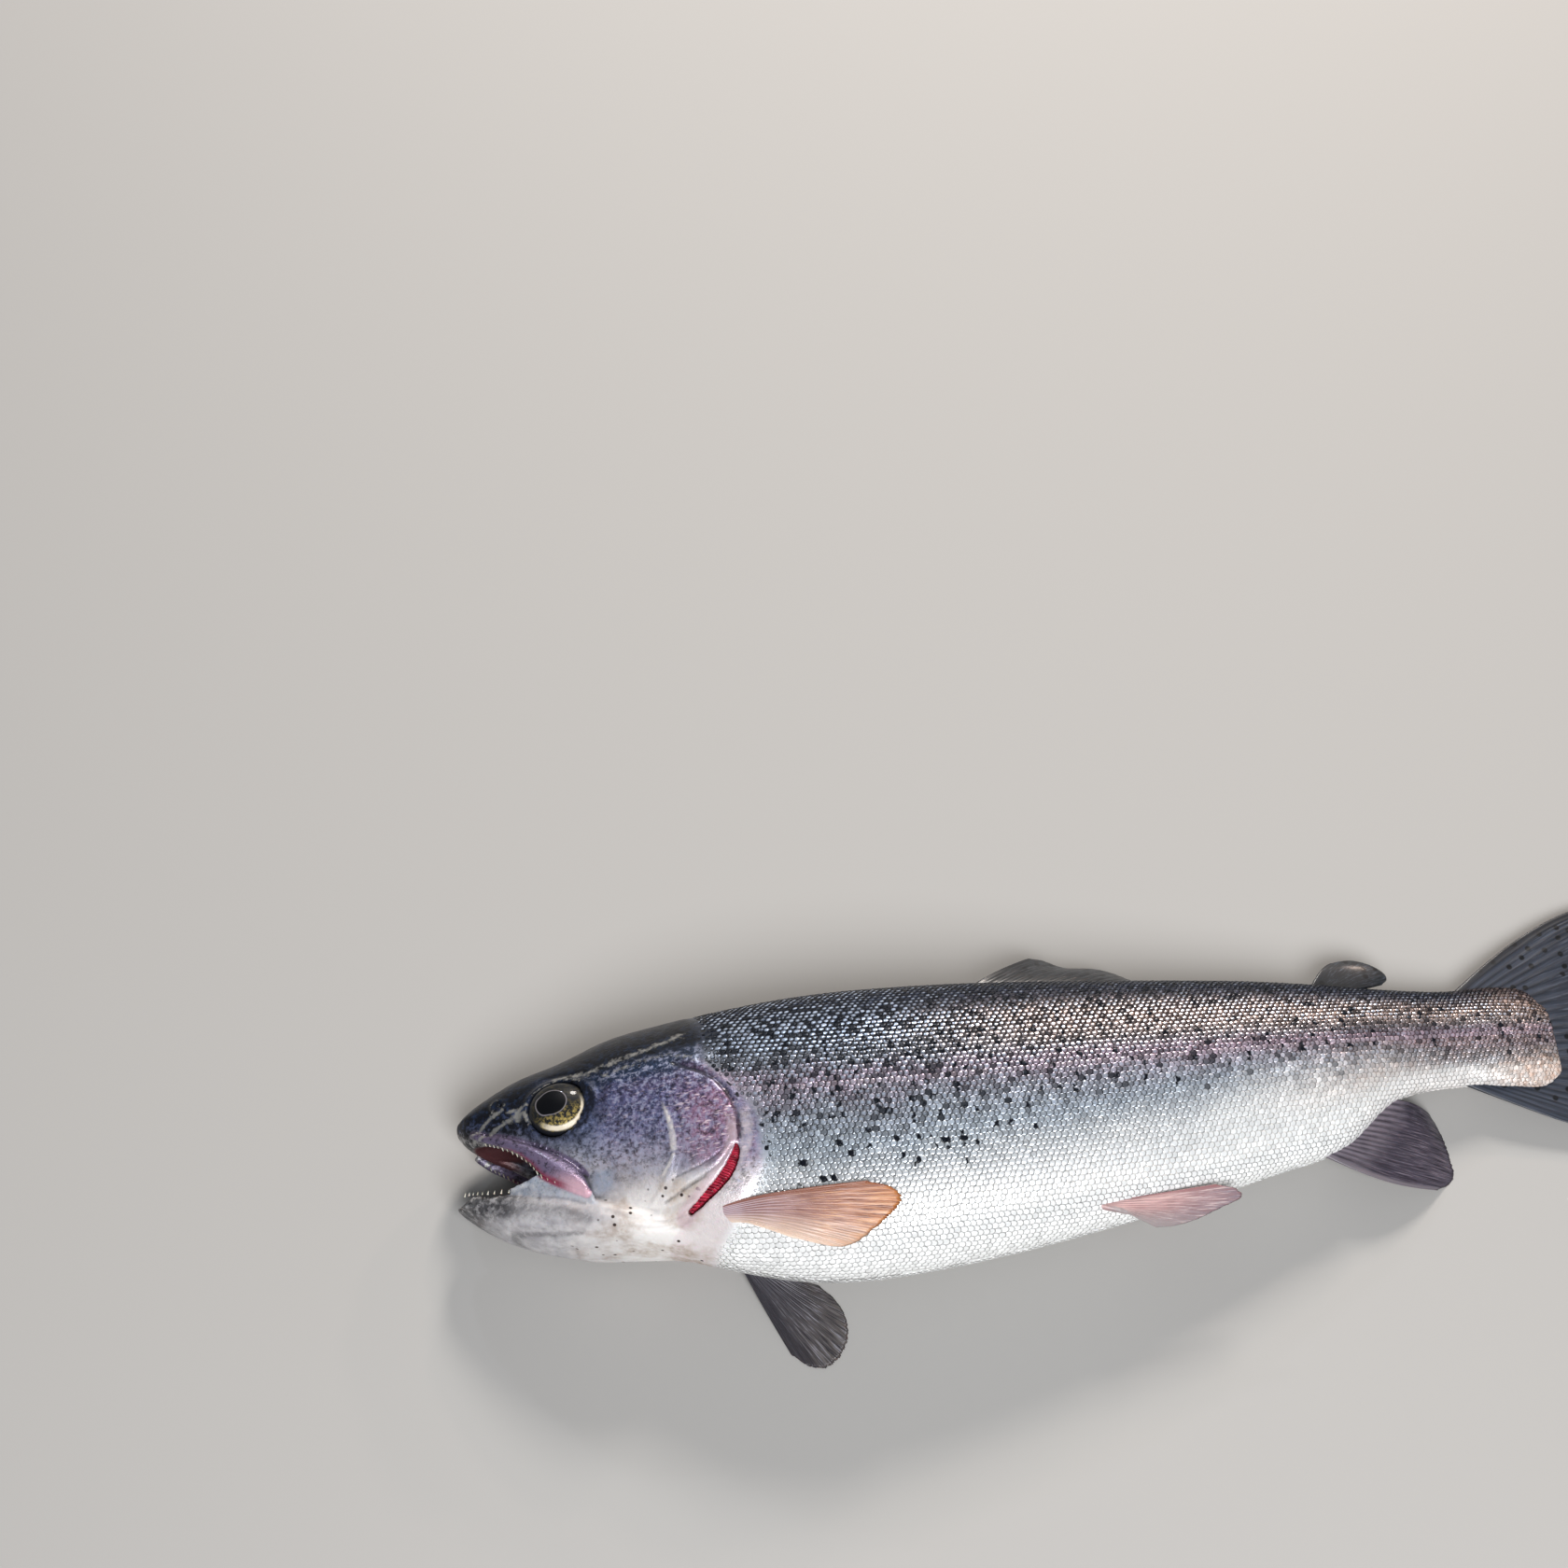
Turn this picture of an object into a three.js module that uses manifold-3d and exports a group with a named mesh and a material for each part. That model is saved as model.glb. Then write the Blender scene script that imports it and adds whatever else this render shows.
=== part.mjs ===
// A rainbow trout, life size, as a still model: a freshly caught fish that lies on its right side with its mouth
// open. Millimetres, +Z up. The head points to -X, the back to +Y, and the left side of the fish looks up.
// Each piece is first placed by its station (distance from the tip of the snout along the fish) and its rise
// (height towards the back, from the line through the snout and the middle of the tail's root).
// The origin is on the flat of the right flank, where the fish lies on the floor.
import * as THREE from "three";
import { mergeVertices } from "three/addons/utils/BufferGeometryUtils.js";
import Module from "manifold-3d";

const wasm = await Module();
wasm.setup();

// ---------------------------------------------------------------------------------------- driving dimensions
const ORIGIN_STATION = 150; // the origin's distance from the snout
const ORIGIN_RISE = -16; // and its rise: the middle of the flat that the flank lies on
const TAIL_ROOT = 318; // standard length: from the snout to where the tail fin's rays begin
const GAP = 0.3; // clearance between pieces that meet

// Shape of the body, from the snout back. back and belly are rises, half is half the width, and mid is the height
// of the fish's middle plane above the floor.
const BODY = [
  { at: 0, back: 0.6, belly: -1.8, half: 2.2, mid: 14.5 },
  { at: 2.5, back: 3.2, belly: -5.2, half: 5.6, mid: 14.8 },
  { at: 8, back: 6.8, belly: -9.6, half: 9.2, mid: 15.5 },
  { at: 18, back: 11.7, belly: -17.0, half: 12.8, mid: 16.9 },
  { at: 30, back: 15.2, belly: -28.0, half: 15.9, mid: 18.3 },
  { at: 45, back: 20.6, belly: -38.5, half: 19.4, mid: 20.0 },
  { at: 60, back: 23.1, belly: -45.8, half: 22.4, mid: 21.4 },
  { at: 75, back: 25.0, belly: -52.0, half: 24.2, mid: 22.6 },
  { at: 95, back: 27.2, belly: -57.4, half: 24.7, mid: 23.1 },
  { at: 115, back: 28.1, belly: -58.8, half: 24.4, mid: 23.2 },
  { at: 150, back: 28.0, belly: -54.9, half: 22.6, mid: 21.6 },
  { at: 195, back: 26.2, belly: -45.6, half: 19.0, mid: 18.3 },
  { at: 230, back: 24.5, belly: -36.2, half: 15.4, mid: 14.9 },
  { at: 252, back: 22.4, belly: -29.4, half: 12.7, mid: 12.7 },
  { at: 270, back: 20.2, belly: -15.6, half: 9.8, mid: 10.6 },
  { at: 290, back: 18.8, belly: -12.0, half: 7.2, mid: 8.2 },
  { at: 306, back: 19.4, belly: -13.2, half: 5.6, mid: 6.8 },
  { at: 315, back: 17.8, belly: -13.4, half: 4.0, mid: 6.0 },
  { at: 321, back: 11.4, belly: -9.6, half: 1.6, mid: 5.4 },
];
const WIDEST_ABOVE_MIDDLE = 1.0; // rise of the widest point over half way between back and belly
const BACK_FULLNESS = 1.12; // power of the sine across the back: more than 1 is a ridge
const BELLY_FULLNESS = 0.92; // and across the belly: less than 1 is a full round

// Lower jaw, open about 27 degrees. top and bottom are rises.
const JAW = [
  { at: -0.9, top: -21.9, bottom: -24.2, half: 2.2, mid: 14.5 },
  { at: 1.8, top: -20.7, bottom: -26.6, half: 5.4, mid: 14.7 },
  { at: 9, top: -22.1, bottom: -32.0, half: 8.8, mid: 15.6 },
  { at: 20, top: -24.3, bottom: -38.0, half: 12.0, mid: 17.1 },
  { at: 33, top: -28.0, bottom: -41.6, half: 14.6, mid: 18.7 },
  { at: 45, top: -32.5, bottom: -43.2, half: 15.2, mid: 20.0 },
  { at: 56, top: -38.4, bottom: -45.2, half: 11.0, mid: 21.0 },
];
const JAW_SQUARENESS = 0.75; // power of the sine and cosine across the jaw: less than 1 squares its corners

const EYE = { at: 30.3, rise: -4.2, long: 8.8, tall: 7.9, depth: 3.8, proud: 1.9, turn: 0.14 };
const MOUTH_ROOF = { at: 13, rise: -17.0, radii: [17.5, 9.0, 7.2] };
const JAW_SCOOP = { at: 19, rise: -24.0, radii: [16.0, 8.2, 8.8] };
const TONGUE = { at: 21, rise: -29.6, radii: [11.0, 2.8, 4.6] };

const NECK = 74; // station of the cut between head and trunk, at the level of the spine
const NECK_LEAN = 0.1; // how much further back the cut is for each mm of rise
const STALK = 250; // station of the cut between trunk and tail stalk

// Gill cover: its front seam and its free rear edge, from the top down, as [station, rise]. lift is how far the
// free edge stands off the flank.
const GILL_COVER_FRONT = [[58.6, 1.8], [58.9, -7.5], [60.5, -15.5], [61.0, -22.5], [59.2, -29.5], [52.8, -37.6]];
const GILL_COVER_REAR = [[62.2, 2.3], [72.4, -4.4], [77.6, -13.6], [78.3, -23.4], [74.2, -31.2], [62.8, -40.6]];
const GILL_COVER = { thick: 2.0, liftLeft: 1.1, liftRight: 0.2 };

// The red gills in the left slit: the slit is a crescent behind the lower half of the free edge.
const GILL_SLIT = { from: 0.6, to: 0.98, width: 3.2, depth: 5.5, gillDepth: 2.2, under: 2.5 };

// Upper jaw bone (maxilla), a blade over each corner of the mouth.
const MAXILLA_UPPER = [
  [5.0, -4.9], [9.2, -7.2], [14.6, -9.2], [22.8, -13.4], [28.2, -16.8], [32.8, -20.6], [36.2, -25.4], [37.2, -29.2],
];
const MAXILLA_LOWER = [
  [4.6, -6.4], [8.6, -9.4], [12.4, -11.6], [16.8, -14.6], [20.8, -18.8], [24.0, -23.4], [30.2, -27.2], [36.2, -30.8],
];
const MAXILLA_THICK = 1.7;
const MAXILLA_FRONT_REACH = 8.2; // how far its front end stands from the middle plane
const MAXILLA_REAR_REACH = 17.0; // and its rear end
const MAXILLA_BULGE = 1.2; // how far its edges bend in

// Fins. base runs from the front ray's root to the last ray's, edge along the ray tips, both as [station, rise].
// bow is how far the first and the last ray curve apart half way out.
const DORSAL = {
  base: [[150.5, 27.6], [173, 26.8], [196, 25.4]],
  edge: [[172.6, 40.8], [180.5, 36.6], [190.6, 35.4], [198, 32.2], [204, 28.4]],
};
const ADIPOSE = {
  base: [[251, 21.8], [257, 21.2], [262, 20.2]],
  edge: [[260.4, 31.0], [266, 31.2], [271.4, 29.4], [275.0, 26.4], [275.4, 23.2]],
};
const ANAL = {
  base: [[244.2, -31.0], [257, -25.6], [270, -15.0]],
  edge: [[280.4, -39.8], [284.2, -36.2], [284.4, -30.6], [283.6, -24.0], [281.6, -16.6]],
  bow: [-3.6, 0],
};
const TAIL_FIN = {
  base: [[293.5, 18.2], [308, 15], [314, 2.5], [308, -10.6], [290, -10.8]],
  edge: [[367, 48.0], [370, 43.6], [361, 29], [350, 12.5], [346.6, 4], [349.6, -6], [358, -19.5], [365, -32.6], [361, -37.4]],
  bow: [8.5, -3.0],
};
const PECTORAL_LEFT = {
  base: [[73.6, -39.8], [74.2, -41.9], [76.0, -44.2]],
  edge: [[117.0, -39.2], [122.2, -44.0], [116.6, -49.4], [106, -54.2], [93, -51.6]],
};
const PECTORAL_RIGHT = {
  base: [[74.6, -39.5], [76.4, -41.6], [79.0, -43.6]],
  edge: [[90.6, -74.4], [99.0, -75.6], [104.8, -69.4], [105.4, -61.0], [101.0, -52.0]],
};
const PELVIC_LEFT = {
  base: [[178.4, -44.6], [180.4, -46.4], [183.6, -48.0]],
  edge: [[214.4, -41.2], [218.0, -45.2], [211, -48.0], [203, -50.4], [194, -51.4]],
};
const PELVIC_RIGHT = {
  base: [[178.4, -37.8], [180.8, -39.4], [184.0, -40.6]],
  edge: [[213.0, -28.4], [217.4, -30.6], [213, -33.8], [205, -36.6], [196, -39.0]],
};
const FIN_THICK_ROOT = 1.7;
const FIN_THICK_EDGE = 0.7;
const FLOOR_FIN_HEIGHT = 0.45; // middle of a fin that lies on the floor
const TAIL_DROOP = 4.6; // how far the ray tips of the tail sink below its root
const PELVIC_HEIGHTS = [27.6, 25.2, 20.4]; // the left pelvic fin's root, its front ray's tip and its last ray's tip

// ----------------------------------------------------------------------------------------- curves and surfaces

// Smooth curve through (xs, ys) at x, with the slopes of a Catmull-Rom spline on uneven steps. It runs on straight
// past both ends.
function through(xs, ys, x) {
  const last = xs.length - 1;
  const slope = (k) => {
    const low = Math.max(k - 1, 0);
    const high = Math.min(k + 1, last);
    return (ys[high] - ys[low]) / (xs[high] - xs[low]);
  };
  if (x <= xs[0]) return ys[0] + slope(0) * (x - xs[0]);
  if (x >= xs[last]) return ys[last] + slope(last) * (x - xs[last]);
  let i = 0;
  while (x > xs[i + 1]) i += 1;
  const step = xs[i + 1] - xs[i];
  const t = (x - xs[i]) / step;
  const t2 = t * t;
  const t3 = t2 * t;
  return (
    ys[i] * (2 * t3 - 3 * t2 + 1) +
    slope(i) * step * (t3 - 2 * t2 + t) +
    ys[i + 1] * (3 * t2 - 2 * t3) +
    slope(i + 1) * step * (t3 - t2)
  );
}

// A size from a table at a station, held at the table's ends.
function atStation(table, key, station) {
  const held = Math.min(Math.max(station, table[0].at), table[table.length - 1].at);
  return through(table.map((row) => row.at), table.map((row) => row[key]), held);
}

// A point of a list of [station, rise] pairs: 0 is the first and 1 the last.
function along(points, way) {
  const steps = points.map((_, i) => i / (points.length - 1));
  return [through(steps, points.map((p) => p[0]), way), through(steps, points.map((p) => p[1]), way)];
}

// Outline of the body across the fish: turn 0 is the back, a quarter the left flank, a half the belly.
function bodySection(station, turn, grow = 0) {
  const back = atStation(BODY, "back", station) + grow;
  const belly = atStation(BODY, "belly", station) - grow;
  const half = atStation(BODY, "half", station) + grow;
  const widest = (back + belly) / 2 + WIDEST_ABOVE_MIDDLE;
  const c = Math.cos(turn);
  const s = Math.sin(turn);
  const rise = widest + (c > 0 ? (back - widest) * c : (widest - belly) * c);
  const power = c > 0 ? BACK_FULLNESS : BELLY_FULLNESS;
  return { rise, out: half * Math.sign(s) * Math.abs(s) ** power };
}

// How far the flank stands from the middle plane at a station and rise.
function flank(station, rise, grow = 0) {
  const back = atStation(BODY, "back", station) + grow;
  const belly = atStation(BODY, "belly", station) - grow;
  const half = atStation(BODY, "half", station) + grow;
  const widest = (back + belly) / 2 + WIDEST_ABOVE_MIDDLE;
  const up = rise > widest;
  const c = Math.min(1, Math.abs(rise - widest) / (up ? back - widest : widest - belly));
  return half * Math.sqrt(1 - c * c) ** (up ? BACK_FULLNESS : BELLY_FULLNESS);
}

const midPlane = (station) => atStation(BODY, "mid", station);

const share = (x) => Math.min(1, Math.max(0, x));

const place = (station, rise, height) => new THREE.Vector3(station - ORIGIN_STATION, rise - ORIGIN_RISE, height);

// --------------------------------------------------------------------------------------------- making solids

// A closed mesh from triangles of corner points, as a solid; turned right side out when it came inside out.
function solidFrom(corners) {
  const position = new THREE.Float32BufferAttribute(corners.flatMap((p) => [p.x, p.y, p.z]), 3);
  const made = solidOf(new THREE.BufferGeometry().setAttribute("position", position));
  if (made.volume() >= 0) return made;
  for (let i = 0; i < corners.length; i += 3) [corners[i + 1], corners[i + 2]] = [corners[i + 2], corners[i + 1]];
  return solidFrom(corners);
}

function solidOf(geometry) {
  const bare = geometry.index ? geometry.toNonIndexed() : geometry.clone();
  for (const name of ["normal", "uv"]) bare.deleteAttribute(name);
  const merged = mergeVertices(bare, 1e-4);
  const mesh = new wasm.Mesh({
    numProp: 3,
    vertProperties: merged.attributes.position.array,
    triVerts: new Uint32Array(merged.index.array),
  });
  return new wasm.Manifold(mesh);
}

// A tube skinned over rings of points, closed by a fan at each end.
function loft(rings) {
  const corners = [];
  const around = rings[0].length;
  for (let i = 0; i < rings.length - 1; i += 1)
    for (let j = 0; j < around; j += 1) {
      const k = (j + 1) % around;
      corners.push(rings[i][j], rings[i + 1][j], rings[i + 1][k]);
      corners.push(rings[i][j], rings[i + 1][k], rings[i][k]);
    }
  for (const [ring, outwards] of [[rings[0], false], [rings[rings.length - 1], true]]) {
    const middle = ring.reduce((sum, p) => sum.add(p), new THREE.Vector3()).divideScalar(around);
    for (let j = 0; j < around; j += 1) {
      const k = (j + 1) % around;
      if (outwards) corners.push(middle, ring[k], ring[j]);
      else corners.push(middle, ring[j], ring[k]);
    }
  }
  return solidFrom(corners);
}

// A closed plate over the surface point(u, v), from low(u, v) to high(u, v) off it along its normal, which is the
// step in u crossed with the step in v. grow is added to its four edges.
function plate({ point, low, high, stepsU, stepsV, grow = 0 }) {
  const d = 1e-3;
  const edgeU = grow / point(1, 0.5).distanceTo(point(0, 0.5));
  const edgeV = grow / point(0.5, 1).distanceTo(point(0.5, 0));
  const faces = [[], []];
  for (let i = 0; i <= stepsU; i += 1) {
    faces[0].push([]);
    faces[1].push([]);
    for (let j = 0; j <= stepsV; j += 1) {
      const u = (i / stepsU) * (1 + 2 * edgeU) - edgeU;
      const v = (j / stepsV) * (1 + 2 * edgeV) - edgeV;
      const alongU = point(u + d, v).sub(point(u - d, v));
      const alongV = point(u, v + d).sub(point(u, v - d));
      const normal = alongU.cross(alongV).normalize();
      const centre = point(u, v);
      faces[0][i].push(centre.clone().addScaledVector(normal, high(u, v)));
      faces[1][i].push(centre.clone().addScaledVector(normal, low(u, v)));
    }
  }
  const corners = [];
  const quad = (a, b, c, e) => corners.push(a, b, c, a, c, e);
  const [top, bottom] = faces;
  for (let i = 0; i < stepsU; i += 1)
    for (let j = 0; j < stepsV; j += 1) {
      quad(top[i][j], top[i + 1][j], top[i + 1][j + 1], top[i][j + 1]);
      quad(bottom[i][j], bottom[i][j + 1], bottom[i + 1][j + 1], bottom[i + 1][j]);
    }
  for (let i = 0; i < stepsU; i += 1) {
    quad(bottom[i][0], bottom[i + 1][0], top[i + 1][0], top[i][0]);
    quad(top[i][stepsV], top[i + 1][stepsV], bottom[i + 1][stepsV], bottom[i][stepsV]);
  }
  for (let j = 0; j < stepsV; j += 1) {
    quad(top[0][j], top[0][j + 1], bottom[0][j + 1], bottom[0][j]);
    quad(bottom[stepsU][j], bottom[stepsU][j + 1], top[stepsU][j + 1], top[stepsU][j]);
  }
  return solidFrom(corners);
}

function boxBetween(low, high) {
  const size = high.clone().sub(low);
  const middle = low.clone().add(high).multiplyScalar(0.5);
  return solidOf(new THREE.BoxGeometry(size.x, size.y, size.z).translate(middle.x, middle.y, middle.z));
}

function ellipsoid({ at, rise, radii }, grow = 0) {
  const ball = new THREE.SphereGeometry(1, 14, 10);
  ball.scale(...radii.map((r) => r + grow));
  const centre = place(at, rise, midPlane(at));
  return solidOf(ball.translate(centre.x, centre.y, centre.z));
}

const REACH = 300;
const floorBlock = boxBetween(new THREE.Vector3(-REACH, -REACH, -60), new THREE.Vector3(REACH, REACH, 0));

// ------------------------------------------------------------------------------------------------- the body

const STATIONS_OF_RINGS = [
  0, 1, 2.5, 5, 8, 12, 17, 23, 30, 37, 45, 53, 61, 69, 78, 88, 100, 116, 134, 152, 170, 188, 205, 220, 233, 244,
  253, 260, 266, 273, 281, 290, 299, 307, 313, 318, 321,
];
const AROUND = 26;

function bodyLoft(grow = 0) {
  const rings = STATIONS_OF_RINGS.map((station) =>
    Array.from({ length: AROUND }, (_, j) => {
      const { rise, out } = bodySection(station, (2 * Math.PI * j) / AROUND, grow);
      return place(station, rise, midPlane(station) + out);
    }),
  );
  return loft(rings);
}

const JAW_AROUND = 18;

function jawLoft() {
  const squared = (x) => Math.sign(x) * Math.abs(x) ** JAW_SQUARENESS;
  const rings = [-0.9, 0.2, 1.8, 4.6, 9, 14, 20, 26, 33, 39, 45, 51, 56].map((station) =>
    Array.from({ length: JAW_AROUND }, (_, j) => {
      const turn = (2 * Math.PI * j) / JAW_AROUND;
      const top = atStation(JAW, "top", station);
      const bottom = atStation(JAW, "bottom", station);
      const half = atStation(JAW, "half", station);
      const rise = (top + bottom) / 2 + ((top - bottom) / 2) * squared(Math.cos(turn));
      const out = half * squared(Math.sin(turn));
      return place(station, rise, atStation(JAW, "mid", station) + out);
    }),
  );
  return loft(rings);
}

// Part of the body's surface between two curves, as a plate from inner to outer mm off the surface. front and rear
// are lists of [station, rise]; side is 1 for the left flank and -1 for the right.
function surfacePlate({ front, rear, side, inner, outer, lift = () => 0, stepsU = 6, stepsV = 9, grow = 0 }) {
  const point = (u, v) => {
    const [s0, r0] = along(front, v);
    const [s1, r1] = along(rear, v);
    const station = s0 + (s1 - s0) * u;
    const rise = r0 + (r1 - r0) * u;
    return place(station, rise, midPlane(station) + side * (flank(station, rise) + lift(u, v)));
  };
  const inwards = { low: () => -outer, high: () => -inner };
  const outwards = { low: () => inner, high: () => outer };
  return plate({ point, ...(side > 0 ? inwards : outwards), stepsU, stepsV, grow });
}

function gillCover(side, grow = 0) {
  const { thick, liftLeft, liftRight } = GILL_COVER;
  const lift = side > 0 ? liftLeft : liftRight;
  return surfacePlate({
    front: GILL_COVER_FRONT,
    rear: GILL_COVER_REAR,
    side,
    inner: -thick - grow,
    outer: 0.2 + grow * 8,
    lift: (u, v) => lift * share(u) ** 2 * Math.sin(Math.PI * share(v)),
    grow,
  });
}

// The open slit behind the left gill cover, between two depths off the skin.
function gillSlit(inner, outer, grow) {
  const shares = [0, 0.25, 0.5, 0.75, 1];
  const edge = shares.map((w) => along(GILL_COVER_REAR, GILL_SLIT.from + (GILL_SLIT.to - GILL_SLIT.from) * w));
  const reach = (w) => 0.8 + GILL_SLIT.width * Math.sin(Math.PI * w);
  return surfacePlate({
    front: edge.map(([s, r]) => [s - GILL_SLIT.under, r + 0.5]),
    rear: edge.map(([s, r], i) => [s + reach(shares[i]), r - 0.4 * reach(shares[i])]),
    side: 1,
    inner,
    outer,
    stepsU: 3,
    stepsV: 8,
    grow,
  });
}

function maxilla(side, grow = 0) {
  const point = (u, v) => {
    const [s0, r0] = along(MAXILLA_UPPER, u);
    const [s1, r1] = along(MAXILLA_LOWER, u);
    const station = s0 + (s1 - s0) * v;
    const rise = r0 + (r1 - r0) * v;
    const spread = (MAXILLA_REAR_REACH - MAXILLA_FRONT_REACH) * share(u) ** 0.62;
    const reach = MAXILLA_FRONT_REACH + spread - MAXILLA_BULGE * (2 * v - 1) ** 2;
    return place(station, rise, midPlane(station) + side * reach);
  };
  const half = (u, v) => (MAXILLA_THICK / 2) * (0.6 + 0.4 * Math.sin(Math.PI * share(v))) + grow;
  return plate({ point, low: (u, v) => -half(u, v), high: half, stepsU: 8, stepsV: 3, grow: grow * 1.6 });
}

// The eye: a shallow lens that follows the slope of the cheek towards the snout.
function eye(side, grow = 0) {
  const { at, rise, long, tall, depth, proud, turn } = EYE;
  const centre = place(at, rise, midPlane(at) + side * (flank(at, rise) + proud - depth));
  const lens = new THREE.SphereGeometry(1, 18, 10);
  lens.scale(long + grow, tall + grow, depth + grow);
  return solidOf(lens.rotateY(-side * turn).translate(centre.x, centre.y, centre.z));
}

// ------------------------------------------------------------------------------------------------- the fins

// A fin as a fan of rays from its base to its edge. height(station, rise, u, v) is the height over the floor.
function fin({ base, edge, bow = [0, 0] }, height, stepsU = 6, stepsV = 7) {
  const point = (u, v) => {
    const [s0, r0] = along(base, v);
    const [s1, r1] = along(edge, v);
    const station = s0 + (s1 - s0) * u;
    const bend = bow[0] * share(1 - 2 * v) ** 2 + bow[1] * share(2 * v - 1) ** 2;
    const rise = r0 + (r1 - r0) * u + bend * Math.sin(Math.PI * share(u));
    return place(station, rise, height(station, rise, u, v));
  };
  const half = (u) => (FIN_THICK_ROOT + (FIN_THICK_EDGE - FIN_THICK_ROOT) * share(u) ** 0.6) / 2;
  return plate({ point, low: (u) => -half(u), high: half, stepsU, stepsV });
}

const inMiddle = (droop) => (station, rise, u) => midPlane(Math.min(station, TAIL_ROOT)) - droop * u * u;

// Against the flank: it starts inside the skin and lies just off it.
const onFlank = (clear) => (station, rise, u) => {
  const skin = flank(station, Math.max(rise, atStation(BODY, "belly", station) + 2.5));
  return midPlane(station) + skin - 2 + (2 + clear) * Math.min(1, u * 4) + 0.8 * u;
};

// Free of the body: from one height at the root to others along the edge.
const freely = ([root, front, last]) => (station, rise, u, v) => root + (front + (last - front) * v - root) * u;

// From the right flank down to the floor.
const toFloor = (rootHeight) => (station, rise, u) => FLOOR_FIN_HEIGHT + (rootHeight - FLOOR_FIN_HEIGHT) * (1 - share(u)) ** 2.4;

const body = bodyLoft().subtract(floorBlock);
const grownBody = bodyLoft(GAP);
const leftFins = { pectoral_fin_left: fin(PECTORAL_LEFT, onFlank(1.1)), pelvic_fin_left: fin(PELVIC_LEFT, freely(PELVIC_HEIGHTS)) };
const floorFins = { pectoral_fin_right: fin(PECTORAL_RIGHT, toFloor(7)), pelvic_fin_right: fin(PELVIC_RIGHT, toFloor(7)) };
const middleFins = {
  dorsal_fin: fin(DORSAL, inMiddle(9)),
  adipose_fin: fin(ADIPOSE, inMiddle(2)),
  anal_fin: fin(ANAL, inMiddle(9.5)),
  tail_fin: fin(TAIL_FIN, inMiddle(TAIL_DROOP), 7, 16),
};
const fins = { ...middleFins, ...leftFins, ...floorFins };
for (const name of Object.keys(fins)) fins[name] = fins[name].subtract(grownBody).subtract(floorBlock);

// ------------------------------------------------------------------------------------- head, trunk and tail

// Everything on one side of a cut across the fish at a station, leaning back by lean for each mm of rise.
function sideOfCut(station, lean, ahead) {
  const size = REACH;
  const box = new THREE.BoxGeometry(size, 2 * size, 2 * size).translate(((ahead ? -1 : 1) * size) / 2, 0, 0);
  box.rotateZ(-Math.atan(lean));
  const centre = place(station + (ahead ? -GAP / 2 : GAP / 2), 0, 0);
  return solidOf(box.translate(centre.x, centre.y, centre.z));
}

const covers = { gill_cover_left: gillCover(1), gill_cover_right: gillCover(-1).subtract(floorBlock) };
const coverRooms = [gillCover(1, GAP), gillCover(-1, GAP)];
const slit = gillSlit(-GILL_SLIT.depth, 6, 0);
const gills = gillSlit(-GILL_SLIT.depth + 2 * GAP, -GILL_SLIT.gillDepth, -2 * GAP)
  .intersect(body)
  .subtract(coverRooms[0]);
const jawBones = { maxilla_left: maxilla(1), maxilla_right: maxilla(-1) };
const without = (solid, cutters) => cutters.reduce((left, cutter) => left.subtract(cutter), solid);

const head = without(body.intersect(sideOfCut(NECK, NECK_LEAN, true)), [
  ...coverRooms,
  slit,
  maxilla(1, GAP),
  maxilla(-1, GAP),
  eye(1, GAP),
  eye(-1, GAP),
  ellipsoid(MOUTH_ROOF),
]);
const trunk = without(
  body.intersect(sideOfCut(NECK, NECK_LEAN, false)).intersect(sideOfCut(STALK, 0, true)),
  [...coverRooms, slit],
);
const stalk = body.intersect(sideOfCut(STALK, 0, false));
const jaw = without(jawLoft(), [
  grownBody,
  ellipsoid(JAW_SCOOP),
  ellipsoid(TONGUE, GAP),
  maxilla(1, GAP),
  maxilla(-1, GAP),
  ...coverRooms,
  floorBlock,
]);
const tongue = ellipsoid(TONGUE).subtract(grownBody);

// ---------------------------------------------------------------------------------------------- the model

const looks = {
  back: { color: 0x59626b, roughness: 0.32, metalness: 0.35 },
  head: { color: 0x4d566b, roughness: 0.3, metalness: 0.25 },
  jaw: { color: 0xd9d6d2, roughness: 0.35, metalness: 0.1 },
  cover: { color: 0x7b7392, roughness: 0.3, metalness: 0.3 },
  gill: { color: 0x9c1b32, roughness: 0.4, metalness: 0 },
  finDark: { color: 0x3d4048, roughness: 0.4, metalness: 0 },
  finWarm: { color: 0xc08a5c, roughness: 0.4, metalness: 0 },
  eye: { color: 0x14181d, roughness: 0.08, metalness: 0 },
  mouth: { color: 0xb98d86, roughness: 0.4, metalness: 0 },
};

// The largest connected piece of a solid: a cut can leave a sliver behind.
function mainPiece(solid) {
  return solid.decompose().reduce((most, piece) => (piece.volume() > most.volume() ? piece : most));
}

function meshOf(name, solid, look) {
  const { vertProperties, triVerts, numProp } = mainPiece(solid).getMesh();
  const position = new Float32Array((vertProperties.length / numProp) * 3);
  for (let i = 0; i < position.length / 3; i += 1)
    position.set(vertProperties.subarray(i * numProp, i * numProp + 3), i * 3);
  const geometry = new THREE.BufferGeometry()
    .setAttribute("position", new THREE.BufferAttribute(position, 3))
    .setIndex(new THREE.BufferAttribute(triVerts, 1));
  geometry.computeVertexNormals();
  const mesh = new THREE.Mesh(geometry, new THREE.MeshStandardMaterial(looks[look]));
  mesh.name = name;
  return mesh;
}

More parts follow.
